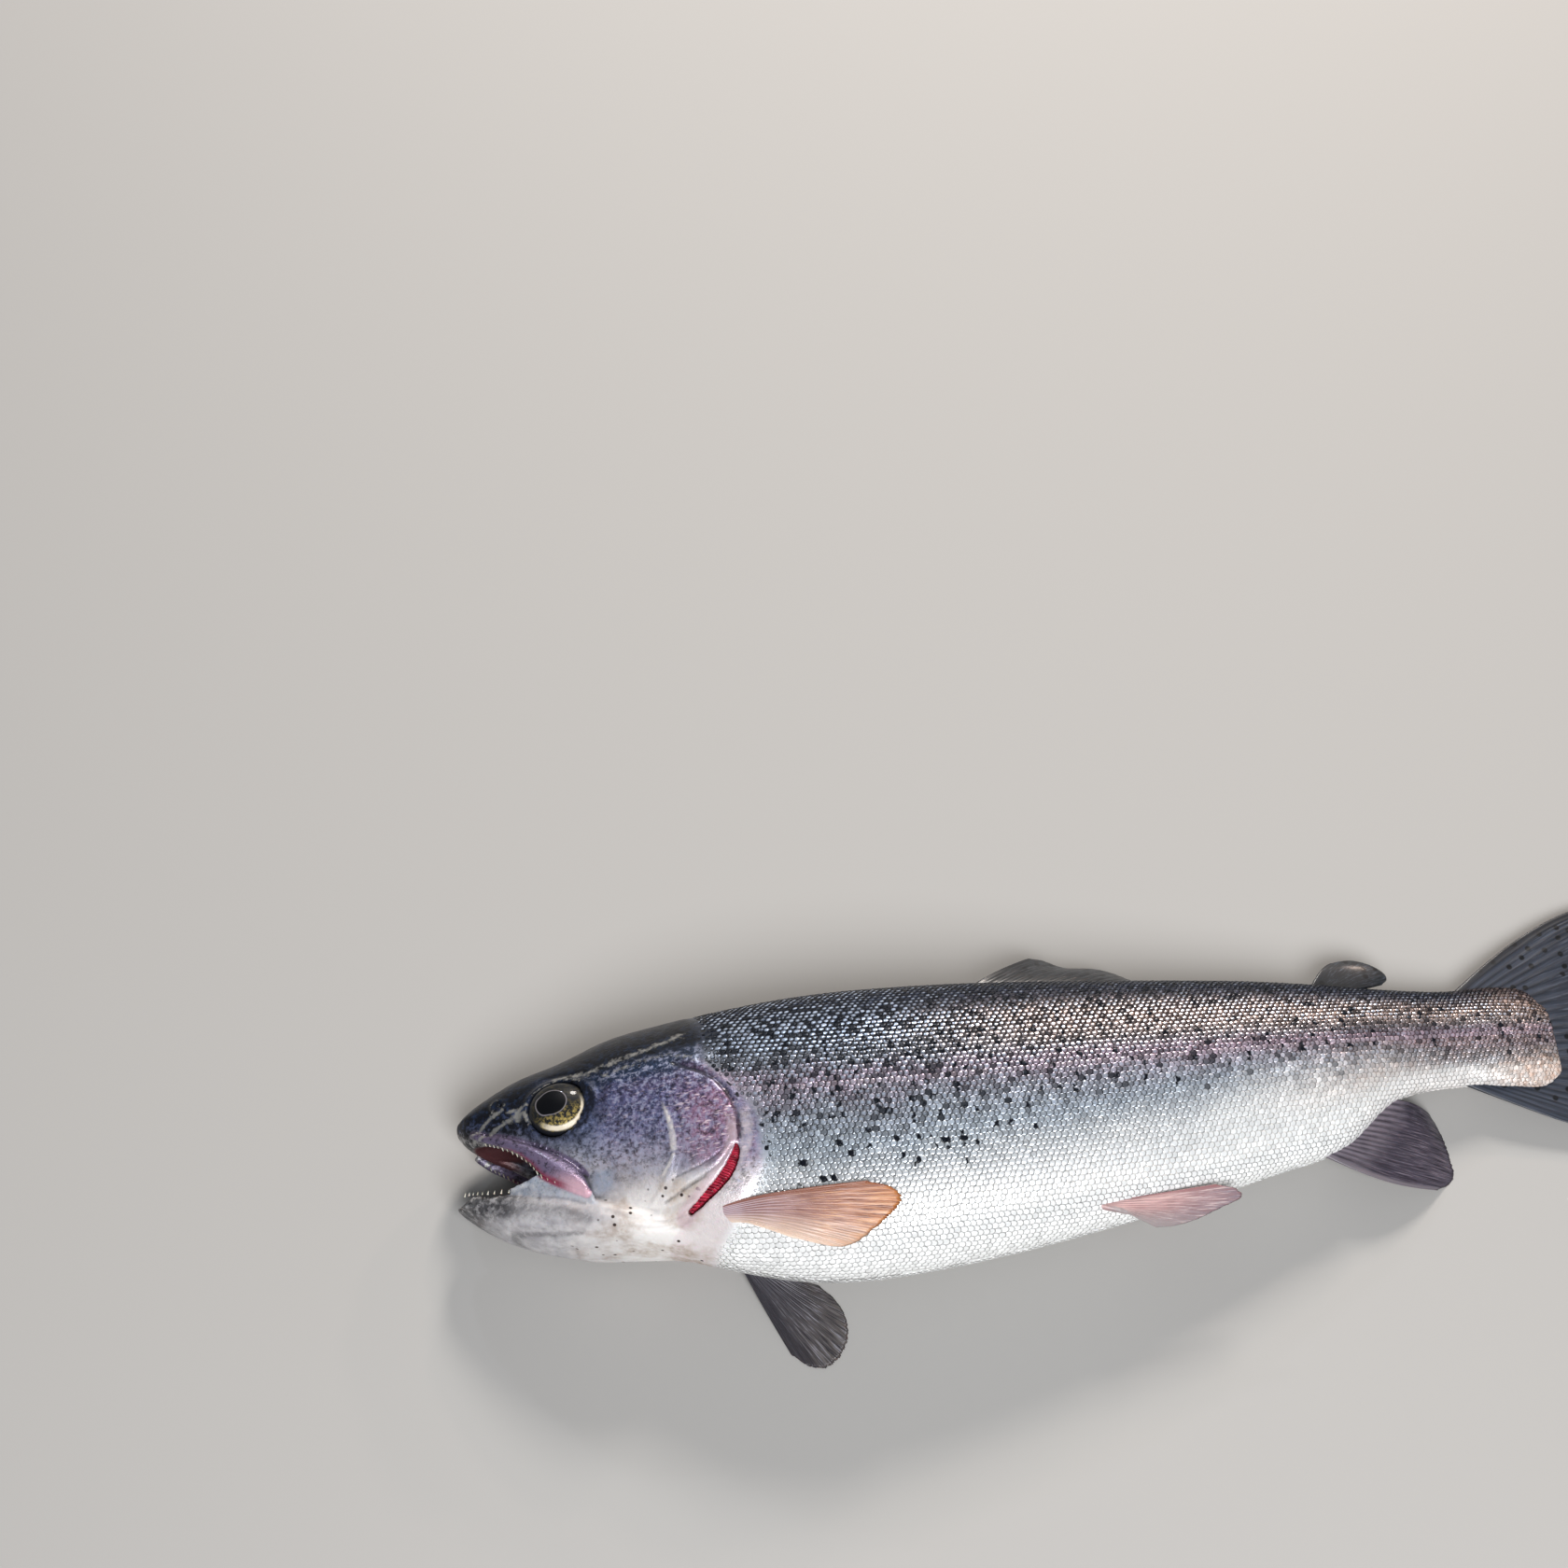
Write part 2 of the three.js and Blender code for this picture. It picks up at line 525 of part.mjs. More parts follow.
const trout = new THREE.Group();
const pieces = [
  ["head", head, "head"],
  ["lower_jaw", jaw, "jaw"],
  ["tongue", tongue, "mouth"],
  ["gills_left", gills, "gill"],
  ["trunk", trunk, "back"],
  ["tail_stalk", stalk, "back"],
  ["eye_left", eye(1), "eye"],
  ["eye_right", eye(-1), "eye"],
  ...Object.entries(covers).map(([name, solid]) => [name, solid, "cover"]),
  ...Object.entries(jawBones).map(([name, solid]) => [name, solid, "head"]),
  ...Object.entries(middleFins).map(([name]) => [name, fins[name], "finDark"]),
  ...Object.entries({ ...leftFins, ...floorFins }).map(([name]) => [name, fins[name], "finWarm"]),
];
for (const [name, solid, look] of pieces) trout.add(meshOf(name, solid, look));

export default trout;
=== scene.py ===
"""A freshly caught rainbow trout, life size, lying on its right flank on a plain pale floor.

Blender's units are metres. The fish is laid out in millimetres by station (distance from the snout towards
the tail), rise (from the line between the snout and the tail's root towards the back) and height over the
floor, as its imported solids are. Its left side looks up.
"""
from __future__ import annotations

import logging
import math
from dataclasses import dataclass, field
from enum import Enum
from typing import Callable, Sequence

import bmesh
import bpy
import numpy as np
from bmesh.types import BMesh
from mathutils import Matrix, Vector
from mathutils.kdtree import KDTree

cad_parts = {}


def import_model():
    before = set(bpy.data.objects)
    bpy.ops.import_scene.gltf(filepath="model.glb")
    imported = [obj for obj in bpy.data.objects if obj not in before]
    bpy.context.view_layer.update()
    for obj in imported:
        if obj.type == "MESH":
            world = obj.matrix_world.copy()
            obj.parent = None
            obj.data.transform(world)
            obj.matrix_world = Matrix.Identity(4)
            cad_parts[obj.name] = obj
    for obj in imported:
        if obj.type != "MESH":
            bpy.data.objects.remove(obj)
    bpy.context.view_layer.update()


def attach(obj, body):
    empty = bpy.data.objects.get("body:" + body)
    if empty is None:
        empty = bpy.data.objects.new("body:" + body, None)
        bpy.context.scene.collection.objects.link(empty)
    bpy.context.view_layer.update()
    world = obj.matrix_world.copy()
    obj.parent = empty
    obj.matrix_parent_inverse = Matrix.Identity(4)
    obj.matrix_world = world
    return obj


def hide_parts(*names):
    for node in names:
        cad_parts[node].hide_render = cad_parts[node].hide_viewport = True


log = logging.getLogger("trout")

MM = 0.001
ORIGIN_STATION = 150.0
ORIGIN_RISE = -16.0
SNOUT_TO_TAIL_ROOT = 318.0
FLESH_END = 321.0  # station at which the flesh ends between the tail's rays
FLOOR_CLEAR = 0.06  # mm between the floor and what lies on it
NUDGE = 1e-3  # a step that is small enough to read a slope with
MERGED = 1e-7  # metres within which two vertices are one

Array = np.ndarray
Piece = bpy.types.Object
Pair = tuple[float, float]
Place = Callable[[Array, Array], Array]


class Side(Enum):
    """The two sides of the fish, as the sign of the height over its middle plane."""

    LEFT = 1
    RIGHT = -1


class Meeting(Enum):
    """What becomes of two closed forms that meet, by Blender's names."""

    JOIN = "UNION"
    CUT = "DIFFERENCE"


# --- curves and body ---


@dataclass(frozen=True)
class Curve:
    """A smooth curve through points, straight past both ends."""

    xs: Sequence[float]
    ys: Sequence[float]

    def __call__(self, x: Array) -> Array:
        """Reads the curve.

        Args:
            x: where to read it.

        Returns:
            The curve's values there.
        """
        xs, ys = np.array(self.xs, float), np.array(self.ys, float)
        last = len(xs) - 1
        near = np.arange(last + 1)
        low, high = np.maximum(near - 1, 0), np.minimum(near + 1, last)
        slope = (ys[high] - ys[low]) / (xs[high] - xs[low])
        x = np.asarray(x, float)
        i = np.clip(np.searchsorted(xs, x) - 1, 0, last - 1)
        step = xs[i + 1] - xs[i]
        t = (x - xs[i]) / step
        inside = ys[i] * (2 * t**3 - 3 * t**2 + 1) + slope[i] * step * (t**3 - 2 * t**2 + t)
        inside += ys[i + 1] * (3 * t**2 - 2 * t**3) + slope[i + 1] * step * (t**3 - t**2)
        before = ys[0] + slope[0] * (x - xs[0])
        after = ys[last] + slope[last] * (x - xs[last])
        return np.where(x < xs[0], before, np.where(x > xs[last], after, inside))


@dataclass(frozen=True)
class Path:
    """A smooth curve through (station, rise) points, read by its share from 0, the first, to 1, the last."""

    points: Sequence[Pair]

    def __call__(self, share: Array) -> tuple[Array, Array]:
        """Reads the station and the rise at a share of the path.

        Args:
            share: how far along the path, 0 to 1.

        Returns:
            The stations and the rises.
        """
        steps = np.linspace(0, 1, len(self.points))
        stations, rises = zip(*self.points)
        return Curve(steps, stations)(share), Curve(steps, rises)(share)

    def line(self, station: Array, rise: Array, core: float, reach: float) -> Array:
        """How much of a line drawn along it is at a place: 1 within core mm, 0 past reach mm."""
        return 1 - fade(self.distance(station, rise), core, reach)

    def distance(self, station: Array, rise: Array, steps: int = 60) -> Array:
        """Measures how far points are from the path.

        Args:
            station: the points' stations.
            rise: the points' rises.
            steps: how many straight pieces stand for the path.

        Returns:
            The distances in mm.
        """
        s, r = self(np.linspace(0, 1, steps + 1))
        best = np.full(np.shape(station), 1e9)
        for i in range(steps):
            ds, dr = s[i + 1] - s[i], r[i + 1] - r[i]
            t = np.clip(((station - s[i]) * ds + (rise - r[i]) * dr) / (ds * ds + dr * dr), 0, 1)
            best = np.minimum(best, np.hypot(station - s[i] - t * ds, rise - r[i] - t * dr))
        return best


def place(station: Array, rise: Array, height: Array) -> Array:
    """Turns stations, rises and heights in mm into points in metres, none of them under the floor."""
    height = np.maximum(height, FLOOR_CLEAR)
    return np.stack(np.broadcast_arrays(station - ORIGIN_STATION, rise - ORIGIN_RISE, height), -1) * MM


def point(station: float, rise: float, out: float) -> Vector:
    """The place in metres at a reach out of the fish's middle plane, positive on the left."""
    return Vector(place(station, rise, BODY.middle(station) + out))


def between(first: Path, second: Path, at: Array, share: Array) -> tuple[Array, Array]:
    """The station and the rise a share of the way from one path to another, both read at the same place."""
    (s0, r0), (s1, r1) = first(at), second(at)
    return s0 + (s1 - s0) * share, r0 + (r1 - r0) * share


def outward(sheet: Place, u: Array, v: Array) -> Array:
    """The unit normals of a sheet at its places u and v.

    Args:
        sheet: gives the sheet's points.
        u: places along it.
        v: places across it.

    Returns:
        The normals.
    """
    along = sheet(u + NUDGE, v) - sheet(u - NUDGE, v)
    across = sheet(u, v + NUDGE) - sheet(u, v - NUDGE)
    normal = np.cross(along, across)
    return normal / np.linalg.norm(normal, axis=-1, keepdims=True)


def fade(x: Array, low: float, high: float) -> Array:
    """Rises smoothly from 0 at low to 1 at high (or falls, where high is the lesser)."""
    t = np.clip((np.asarray(x, float) - low) / (high - low), 0, 1)
    return t * t * (3 - 2 * t)


@dataclass(frozen=True)
class Body:
    """The outline of the fish across its length; each row is station, back, belly, half width and middle."""

    rows: Sequence[tuple[float, float, float, float, float]] = (
        (0, 0.6, -1.8, 2.2, 14.5),
        (2.5, 3.2, -5.2, 5.6, 14.8),
        (8, 6.8, -9.6, 9.2, 15.5),
        (18, 11.7, -17.0, 12.8, 16.9),
        (30, 15.2, -28.0, 15.9, 18.3),
        (45, 20.6, -38.5, 19.4, 20.0),
        (60, 23.1, -45.8, 22.4, 21.4),
        (75, 25.0, -52.0, 24.2, 22.6),
        (95, 27.2, -57.4, 24.7, 23.1),
        (115, 28.1, -58.8, 24.4, 23.2),
        (150, 28.0, -54.9, 22.6, 21.6),
        (195, 26.2, -45.6, 19.0, 18.3),
        (230, 24.5, -36.2, 15.4, 14.9),
        (252, 22.4, -29.4, 12.7, 12.7),
        (270, 20.2, -15.6, 9.8, 10.6),
        (290, 18.8, -12.0, 7.2, 8.2),
        (306, 19.4, -13.2, 5.6, 6.8),
        (315, 17.8, -13.4, 4.0, 6.0),
        (321, 11.4, -9.6, 1.6, 5.4),
    )
    lateral_line: Curve = Curve(
        (0, 40, 84, 118, 160, 200, 243, 287, 321), (0, -5, -9.5, -10.4, -8.7, -5.8, -2.3, 1.4, 2.8)
    )
    widest_above_middle: float = 1.0
    back_power: float = 1.12
    belly_power: float = 0.92

    def size(self, column: int, station: Array) -> Array:
        """Reads one of the sizes at a station, held at both ends.

        Args:
            column: which size of a row.
            station: where along the fish.

        Returns:
            The sizes in mm.
        """
        stations = [row[0] for row in self.rows]
        held = np.clip(station, stations[0], stations[-1])
        return Curve(stations, [row[column] for row in self.rows])(held)

    def middle(self, station: Array) -> Array:
        """Height of the fish's middle plane."""
        return self.size(4, station)

    def edges(self, station: Array, inset: Array | float = 0.0) -> tuple[Array, Array, Array, Array]:
        """Gives the back's rise, the belly's rise, the half width and the widest point's rise."""
        back, belly = self.size(1, station) - inset, self.size(2, station) + inset
        return back, belly, self.size(3, station) - inset, (back + belly) / 2 + self.widest_above_middle

    def section(self, station: Array, turn: Array, inset: Array | float = 0.0) -> tuple[Array, Array]:
        """Walks round the fish.

        Args:
            station: where along the fish.
            turn: the angle round it, from 0 at the back over a quarter turn at the left flank.
            inset: how far inside the outline.

        Returns:
            The rise, and the reach out of the middle plane, positive on the left.
        """
        back, belly, half, widest = self.edges(station, inset)
        c, s = np.cos(turn), np.sin(turn)
        rise = widest + np.where(c > 0, (back - widest) * c, (widest - belly) * c)
        power = np.where(c > 0, self.back_power, self.belly_power)
        return rise, half * np.sign(s) * np.abs(s) ** power

    def skin(self, station: Array, turn: Array, inset: Array | float = 0.0) -> Array:
        """Points of the outline in metres, pressed flat where they meet the floor."""
        rise, out = self.section(station, turn, inset)
        return place(station, rise, np.maximum(self.middle(station) + out, np.asarray(inset)))

    def flank(self, station: Array, rise: Array) -> Array:
        """Reach of the flank from the middle plane at a rise.

        Args:
            station: where along the fish.
            rise: how high towards the back.

        Returns:
            The reach in mm.
        """
        back, belly, half, widest = self.edges(station)
        span = np.where(rise > widest, back - widest, widest - belly)
        c = np.minimum(1, np.abs(rise - widest) / span)
        power = np.where(rise > widest, self.back_power, self.belly_power)
        return half * np.sqrt(1 - c * c) ** power

    def turn_of(self, station: Array, rise: Array) -> Array:
        """Angle from the back at which a rise is met, from 0 to half a turn.

        Args:
            station: where along the fish.
            rise: the rise.

        Returns:
            The angle in radians.
        """
        back, belly, _, widest = self.edges(station)
        span = np.where(rise > widest, back - widest, widest - belly)
        return np.arccos(np.clip((rise - widest) / span, -1, 1))


@dataclass
class Girth:
    """Measures round the flank: 0 at the back's ridge, a half on the lateral line, 1 at mid belly."""

    body: Body
    stations: Array = field(default_factory=lambda: np.linspace(0, FLESH_END, 215))
    turns: Array = field(default_factory=lambda: np.linspace(0, math.pi, 241))

    def __post_init__(self) -> None:
        """Measures the arc round every section once."""
        s, t = np.meshgrid(self.stations, self.turns, indexing="ij")
        rise, out = self.body.section(s, t)
        steps = np.hypot(np.diff(rise, axis=1), np.diff(out, axis=1))
        self.arc = np.concatenate([np.zeros((len(self.stations), 1)), np.cumsum(steps, 1)], 1)
        line_turn = self.body.turn_of(self.stations, self.body.lateral_line(self.stations))
        self.line_arc = np.array([np.interp(w, self.turns, row) for w, row in zip(line_turn, self.arc)])
        self.whole = self.arc[:, -1]

    def at(self, station: Array, turn: Array) -> Array:
        """The share of the girth at a station and a turn from 0 to half a turn.

        Args:
            station: where along the fish.
            turn: the angle from the back.

        Returns:
            The shares, 0 to 1.
        """
        x = np.clip(station / self.stations[-1], 0, 1) * (len(self.stations) - 1)
        y = np.clip(turn / math.pi, 0, 1) * (len(self.turns) - 1)
        i = np.minimum(x.astype(int), len(self.stations) - 2)
        j = np.minimum(y.astype(int), len(self.turns) - 2)
        fx, fy = x - i, y - j
        arc = (self.arc[i, j] * (1 - fy) + self.arc[i, j + 1] * fy) * (1 - fx)
        arc += (self.arc[i + 1, j] * (1 - fy) + self.arc[i + 1, j + 1] * fy) * fx
        line = self.line_arc[i] * (1 - fx) + self.line_arc[i + 1] * fx
        whole = self.whole[i] * (1 - fx) + self.whole[i + 1] * fx
        return np.where(arc < line, 0.5 * arc / line, 0.5 + 0.5 * (arc - line) / (whole - line))


BODY = Body()
GIRTH = Girth(BODY)


# --- making meshes ---


def new_object(name: str, bm: BMesh, smooth: bool = True) -> Piece:
    """Turns a bmesh into an object at the origin and frees it.

    Args:
        name: the piece's name.
        bm: its mesh.
        smooth: whether its faces are shaded smooth.

    Returns:
        The new object.
    """
    mesh = bpy.data.meshes.new(name)
    bm.to_mesh(mesh)
    bm.free()
    mesh.polygons.foreach_set("use_smooth", [smooth] * len(mesh.polygons))
    piece = bpy.data.objects.new(name, mesh)
    bpy.context.scene.collection.objects.link(piece)
    return piece


def rolled_grid(bm: BMesh, along: int, around: int, shape: Place) -> None:
    """Adds a closed form: a grid bent round so that its two long edges meet, with its open ends filled.

    Args:
        bm: the mesh to add to.
        along: steps from one end to the other.
        around: steps round the form.
        shape: gives the points at (along, around), both from 0 to 1.
    """
    verts = bmesh.ops.create_grid(bm, x_segments=along, y_segments=around, size=0.5)["verts"]
    flat = np.array([v.co[:2] for v in verts]) + 0.5
    for vert, moved in zip(verts, shape(flat[:, 0], flat[:, 1])):
        vert.co = moved
    bmesh.ops.remove_doubles(bm, verts=verts, dist=MERGED)
    fresh = [v for v in verts if v.is_valid]
    edges = list({e for v in fresh for e in v.link_edges if len(e.link_faces) == 1})
    bmesh.ops.holes_fill(bm, edges=edges, sides=0)
    faces = list({f for v in fresh for f in v.link_faces})
    bmesh.ops.recalc_face_normals(bm, faces=faces)


def add_ellipsoid(bm: BMesh, centre: Vector, radii: Sequence[float], turn: float = 0.0) -> None:
    """Adds an ellipsoid: centre in metres, radii in mm, turned about Y.

    Args:
        bm: the mesh to add to.
        centre: its middle in metres.
        radii: its three radii in mm.
        turn: its angle about Y.
    """
    ball = bmesh.ops.create_uvsphere(bm, u_segments=40, v_segments=24, radius=1.0)
    grow = Matrix.Diagonal((*(r * MM for r in radii), 1))
    bmesh.ops.transform(bm, matrix=Matrix.Translation(centre) @ Matrix.Rotation(turn, 4, "Y") @ grow,
                        verts=ball["verts"])


def apply_modifiers(piece: Piece) -> None:
    """Bakes an object's modifiers into its mesh.

    Args:
        piece: the object.
    """
    depsgraph = bpy.context.evaluated_depsgraph_get()
    mesh = bpy.data.meshes.new_from_object(piece.evaluated_get(depsgraph), depsgraph=depsgraph)
    piece.modifiers.clear()
    old, piece.data = piece.data, mesh
    bpy.data.meshes.remove(old)
    mesh.name = piece.name


def remesh(piece: Piece, voxel: float, smoothing: int) -> None:
    """Melts overlapping closed forms into one even skin.

    Args:
        piece: the object.
        voxel: the new mesh's step in mm.
        smoothing: how many rounds of smoothing follow.
    """
    melt = piece.modifiers.new("melt", "REMESH")
    melt.mode = "VOXEL"
    melt.voxel_size = voxel * MM
    smooth = piece.modifiers.new("ease", "SMOOTH")
    smooth.factor = 0.5
    smooth.iterations = smoothing
    apply_modifiers(piece)


def combine(piece: Piece, other: Piece, meeting: Meeting) -> None:
    """Joins a piece with another closed form, which is used up, or cuts it with that.

    Args:
        piece: the object that is changed.
        other: the form that is used up.
        meeting: what becomes of the two.
    """
    cut = piece.modifiers.new("cut", "BOOLEAN")
    cut.operation = meeting.value
    cut.solver = "MANIFOLD"
    cut.object = other
    apply_modifiers(piece)
    bpy.data.objects.remove(other)


def ease(piece: Piece, weight: Array, rounds: int) -> None:
    """Draws each vertex towards its neighbours' middle.

    Args:
        piece: the object.
        weight: for each vertex, the share of the way it goes in a round.
        rounds: how many rounds.
    """
    mesh = piece.data
    ends = np.zeros(len(mesh.edges) * 2, np.int64)
    mesh.edges.foreach_get("vertices", ends)
    a, b = ends.reshape(-1, 2).T
    points, _ = read_points(piece)
    count = np.bincount(ends, minlength=len(points))[:, None]
    for _ in range(rounds):
        axes = [np.bincount(a, p[b], len(p)) + np.bincount(b, p[a], len(p)) for p in points.T]
        points += weight[:, None] * (np.stack(axes, 1) / count - points)
    write_points(piece, points)


def read_points(piece: Piece) -> tuple[Array, Array]:
    """The vertices and their normals, as arrays.

    Args:
        piece: the object.

    Returns:
        Its points in metres, and their normals.
    """
    mesh = piece.data
    points = np.zeros(len(mesh.vertices) * 3)
    normals = np.zeros(len(mesh.vertices) * 3)
    mesh.vertices.foreach_get("co", points)
    mesh.vertices.foreach_get("normal", normals)
    return points.reshape(-1, 3), normals.reshape(-1, 3)


def write_points(piece: Piece, points: Array) -> None:
    """Moves a piece's vertices."""
    piece.data.vertices.foreach_set("co", points.ravel())
    piece.data.update()


def mark(piece: Piece, **marks: Array) -> None:
    """Stores a number for each vertex under each name, for the materials to read.

    Args:
        piece: the object.
        **marks: the numbers by their names.
    """
    for name, values in marks.items():
        layer = piece.data.attributes.new(name, "FLOAT", "POINT")
        layer.data.foreach_set("value", np.asarray(values, np.float32))


def fish_places(points: Array) -> tuple[Array, Array, Array]:
    """Turns points in metres into stations, rises and reaches out of the middle plane, in mm."""
    station = points[:, 0] / MM + ORIGIN_STATION
    return station, points[:, 1] / MM + ORIGIN_RISE, points[:, 2] / MM - BODY.middle(station)


# --- materials: the tools ---


def linear(code: str) -> tuple[float, float, float, float]:
    """Turns an sRGB hex colour into the linear one that the shaders want."""
    parts = [int(code[i : i + 2], 16) / 255 for i in (1, 3, 5)]
    return (*(c / 12.92 if c <= 0.04045 else ((c + 0.055) / 1.055) ** 2.4 for c in parts), 1.0)


class Node(Enum):
    """The kinds of node in use: Blender's type, then the settings that make it this kind."""

    OUTPUT = ("ShaderNodeOutputMaterial",)
    PLACE = ("ShaderNodeTexCoord",)
    MARK = ("ShaderNodeAttribute",)  # a number stored on the vertices
    NOISE = ("ShaderNodeTexNoise",)
    CELLS = ("ShaderNodeTexVoronoi",)
    FLAT_CELLS = ("ShaderNodeTexVoronoi", ("voronoi_dimensions", "2D"))
    SPLIT = ("ShaderNodeSeparateXYZ",)
    JOIN = ("ShaderNodeCombineXYZ",)
    CHANNELS = ("ShaderNodeSeparateColor",)
    BEND = ("ShaderNodeVectorMath", ("operation", "MULTIPLY_ADD"))
    TURN = ("ShaderNodeMapping",)
    BUMP = ("ShaderNodeBump",)
    RAMP = ("ShaderNodeValToRGB",)
    SURFACE = ("ShaderNodeBsdfPrincipled",)
    LAYER = ("ShaderNodeMix", ("data_type", "RGBA"))  # takes a share, the colour below and the one above
    TINT = ("ShaderNodeMix", ("data_type", "RGBA"), ("blend_type", "MULTIPLY"))
    SUBTRACT = ("ShaderNodeMath", ("operation", "SUBTRACT"))
    MULTIPLY = ("ShaderNodeMath", ("operation", "MULTIPLY"))
    MULTIPLY_ADD = ("ShaderNodeMath", ("operation", "MULTIPLY_ADD"))
    MAXIMUM = ("ShaderNodeMath", ("operation", "MAXIMUM"))
    LESS = ("ShaderNodeMath", ("operation", "LESS_THAN"))
    # the sums that are held between 0 and 1
    ADD_HELD = ("ShaderNodeMath", ("operation", "ADD"), ("use_clamp", True))
    MULTIPLY_HELD = ("ShaderNodeMath", ("operation", "MULTIPLY"), ("use_clamp", True))
    MULTIPLY_ADD_HELD = ("ShaderNodeMath", ("operation", "MULTIPLY_ADD"), ("use_clamp", True))


@dataclass
class Painter:
    """A material that is being put together."""

    name: str

    def __post_init__(self) -> None:
        """Starts an empty material with its output."""
        self.material = bpy.data.materials.new(self.name)
        self.material.use_nodes = True
        self.tree = self.material.node_tree
        self.tree.nodes.clear()
        self.out = self.add(Node.OUTPUT)

    def add(self, kind: Node, inputs: dict | Sequence = (), stops: Sequence[tuple] = (),
            **settings: str) -> bpy.types.Node:
        """Adds a node with its settings and links.

        Args:
            kind: what node.
            inputs: by name or in order: values, hex colours, nodes or sockets.
            stops: a colour ramp's positions with hex colours or greys.
            **settings: the node's own settings.

        Returns:
            The node.
        """
        blender_type, *fixed = kind.value
        node = self.tree.nodes.new(blender_type)
        for key, value in (*fixed, *settings.items()):
            setattr(node, key, value)
        sockets = [socket for socket in node.inputs if socket.enabled]
        names = [socket.name for socket in sockets]
        for key, value in inputs.items() if isinstance(inputs, dict) else enumerate(inputs):
            socket = sockets[key if isinstance(key, int) else names.index(key)]
            if isinstance(value, bpy.types.Node):
                value = next(o for o in value.outputs if o.enabled)
            if isinstance(value, bpy.types.NodeSocket):
                self.tree.links.new(value, socket)
            else:
                socket.default_value = linear(value) if isinstance(value, str) else value
        if stops:
            ramp = node.color_ramp.elements
            while len(ramp) < len(stops):
                ramp.new(0.5)
            for stop, (position, shade) in zip(ramp, stops):
                stop.position = position
                stop.color = linear(shade) if isinstance(shade, str) else (shade, shade, shade, 1)
        return node

    def dress(self, surface: bpy.types.Node, *pieces: Piece) -> None:
        """Ends the material with its surface and puts it on pieces.

        Args:
            surface: the node that ends the material.
            *pieces: what wears it.
        """
        self.tree.links.new(surface.outputs[0], self.out.inputs[0])
        for piece in pieces:
            piece.data.materials.clear()
            piece.data.materials.append(self.material)


# --- the markings ---

GILL_COVER_FRONT = Path(((58.6, 1.8), (58.9, -7.5), (60.5, -15.5), (61.0, -22.5), (59.2, -29.5),
                         (52.8, -37.6)))
GILL_COVER_REAR = Path(((62.2, 2.3), (72.4, -4.4), (77.6, -13.6), (78.3, -23.4), (74.2, -31.2),
                        (62.8, -40.6)))
PREOPERCLE = Path(((59.7, -2.2), (58.8, -8.3), (60.5, -15.5), (61.0, -21.2), (60.5, -26.4), (57.7, -31.7),
                   (54.1, -35.5)))
PREOPERCLE_FOOT = Path(((60.9, -24.9), (59.4, -27.4), (57.5, -29.7)))
COVER_FOLDS = (
    Path(((61.3, -30.8), (68.1, -29.2), (73.6, -26.7), (76.5, -23.2))),
    Path(((62.3, -34.3), (68.5, -32.0), (73.3, -29.5), (77.3, -25.0))),
    Path(((57.5, -36.3), (64.4, -33.9), (69.1, -32.4))),
)
JAW_FOLD = Path(((14.0, -34.7), (17.4, -36.1), (20.9, -37.3), (24.8, -38.4), (28.2, -39.2), (34.2, -40.2)))
JAW_BAND = Path(((3.4, -26.0), (7.0, -26.8), (14.6, -29.2), (22.3, -32.2), (30.0, -35.1), (35.9, -37.6)))
# painted highlights: pale streaks of wet sheen on the snout
SNOUT_PAINTED_SHEEN = (
    Path(((5.1, -6.3), (9.6, -2.6), (13.7, -0.9))),
    Path(((7.3, -8.0), (12.8, -5.3), (15.7, -4.3), (18.5, -3.6))),
    Path(((15.9, -1.8), (18.5, -2.4), (20.9, -1.0))),
    Path(((17.0, -3.8), (19.5, -3.4), (21.7, -6.2))),
)
# painted highlights: pale streaks of wet sheen along the crown
CROWN_PAINTED_SHEEN = (
    Path(((29.0, 5.2), (33.0, 5.4), (37.3, 4.8), (44.3, 6.4), (52.5, 8.3), (58.3, 10.0), (66.0, 12.6))),
    Path(((43.0, 2.8), (52.3, 4.6), (58.1, 5.6), (65.4, 4.6), (69.5, 1.6))),
)
MAXILLA_UPPER = Path(
    ((5.0, -4.9), (9.2, -7.2), (14.6, -9.2), (22.8, -13.4), (28.2, -16.8), (32.8, -20.6), (36.2, -25.4),
     (37.2, -29.2))
)
MAXILLA_LOWER = Path(
    ((4.6, -6.4), (8.6, -9.4), (12.4, -11.6), (16.8, -14.6), (20.8, -18.8), (24.0, -23.4), (30.2, -27.2),
     (36.2, -30.8))
)
COVER_REACH = Curve((-41, -36.5, -31.2, -23.4, -13.6, -4.4, 2.3), (62.6, 68.6, 74.2, 78.3, 77.6, 72.4, 62.2))
SLIT_REAR = Path(((78.7, -23.2), (79.4, -26.6), (78.6, -29.8), (76.6, -32.9), (73.6, -35.4), (69.8, -37.6),
                  (64.6, -40.0)))
EYE_STATION, EYE_RISE = 30.3, -4.2
EYE_LONG, EYE_TALL = 8.8, 7.9
NOSTRIL = (12.6, 0.7)
MOUTH_ROOF = (13.0, -17.0, (19.0, 10.5, 8.4))
JAW_SCOOP = (19.0, -24.0, (16.0, 8.2, 8.8))
CROWN_EDGE = Curve((0, 15.6, 25.6, 36.9, 46.4, 57.6, 68.8, 90), (6, 10, 7.1, 4.5, 6.0, 7.5, 8.3, 8.4))
TAIL_ROUNDS = 304.0  # station past which the tail's root rounds off and its colours just run on
SCALES_START = Curve(
    (0, 0.25, 0.39, 0.445, 0.5, 0.54, 0.57, 0.64, 0.7, 0.8, 0.9, 1),
    (68, 71.5, 71.8, 75, 79, 82.4, 84.2, 85, 84.6, 78.5, 72.5, 69),
)
SKIN_UNDER_SCALES = 0.38  # mm from the outline down to the skin that carries the scales


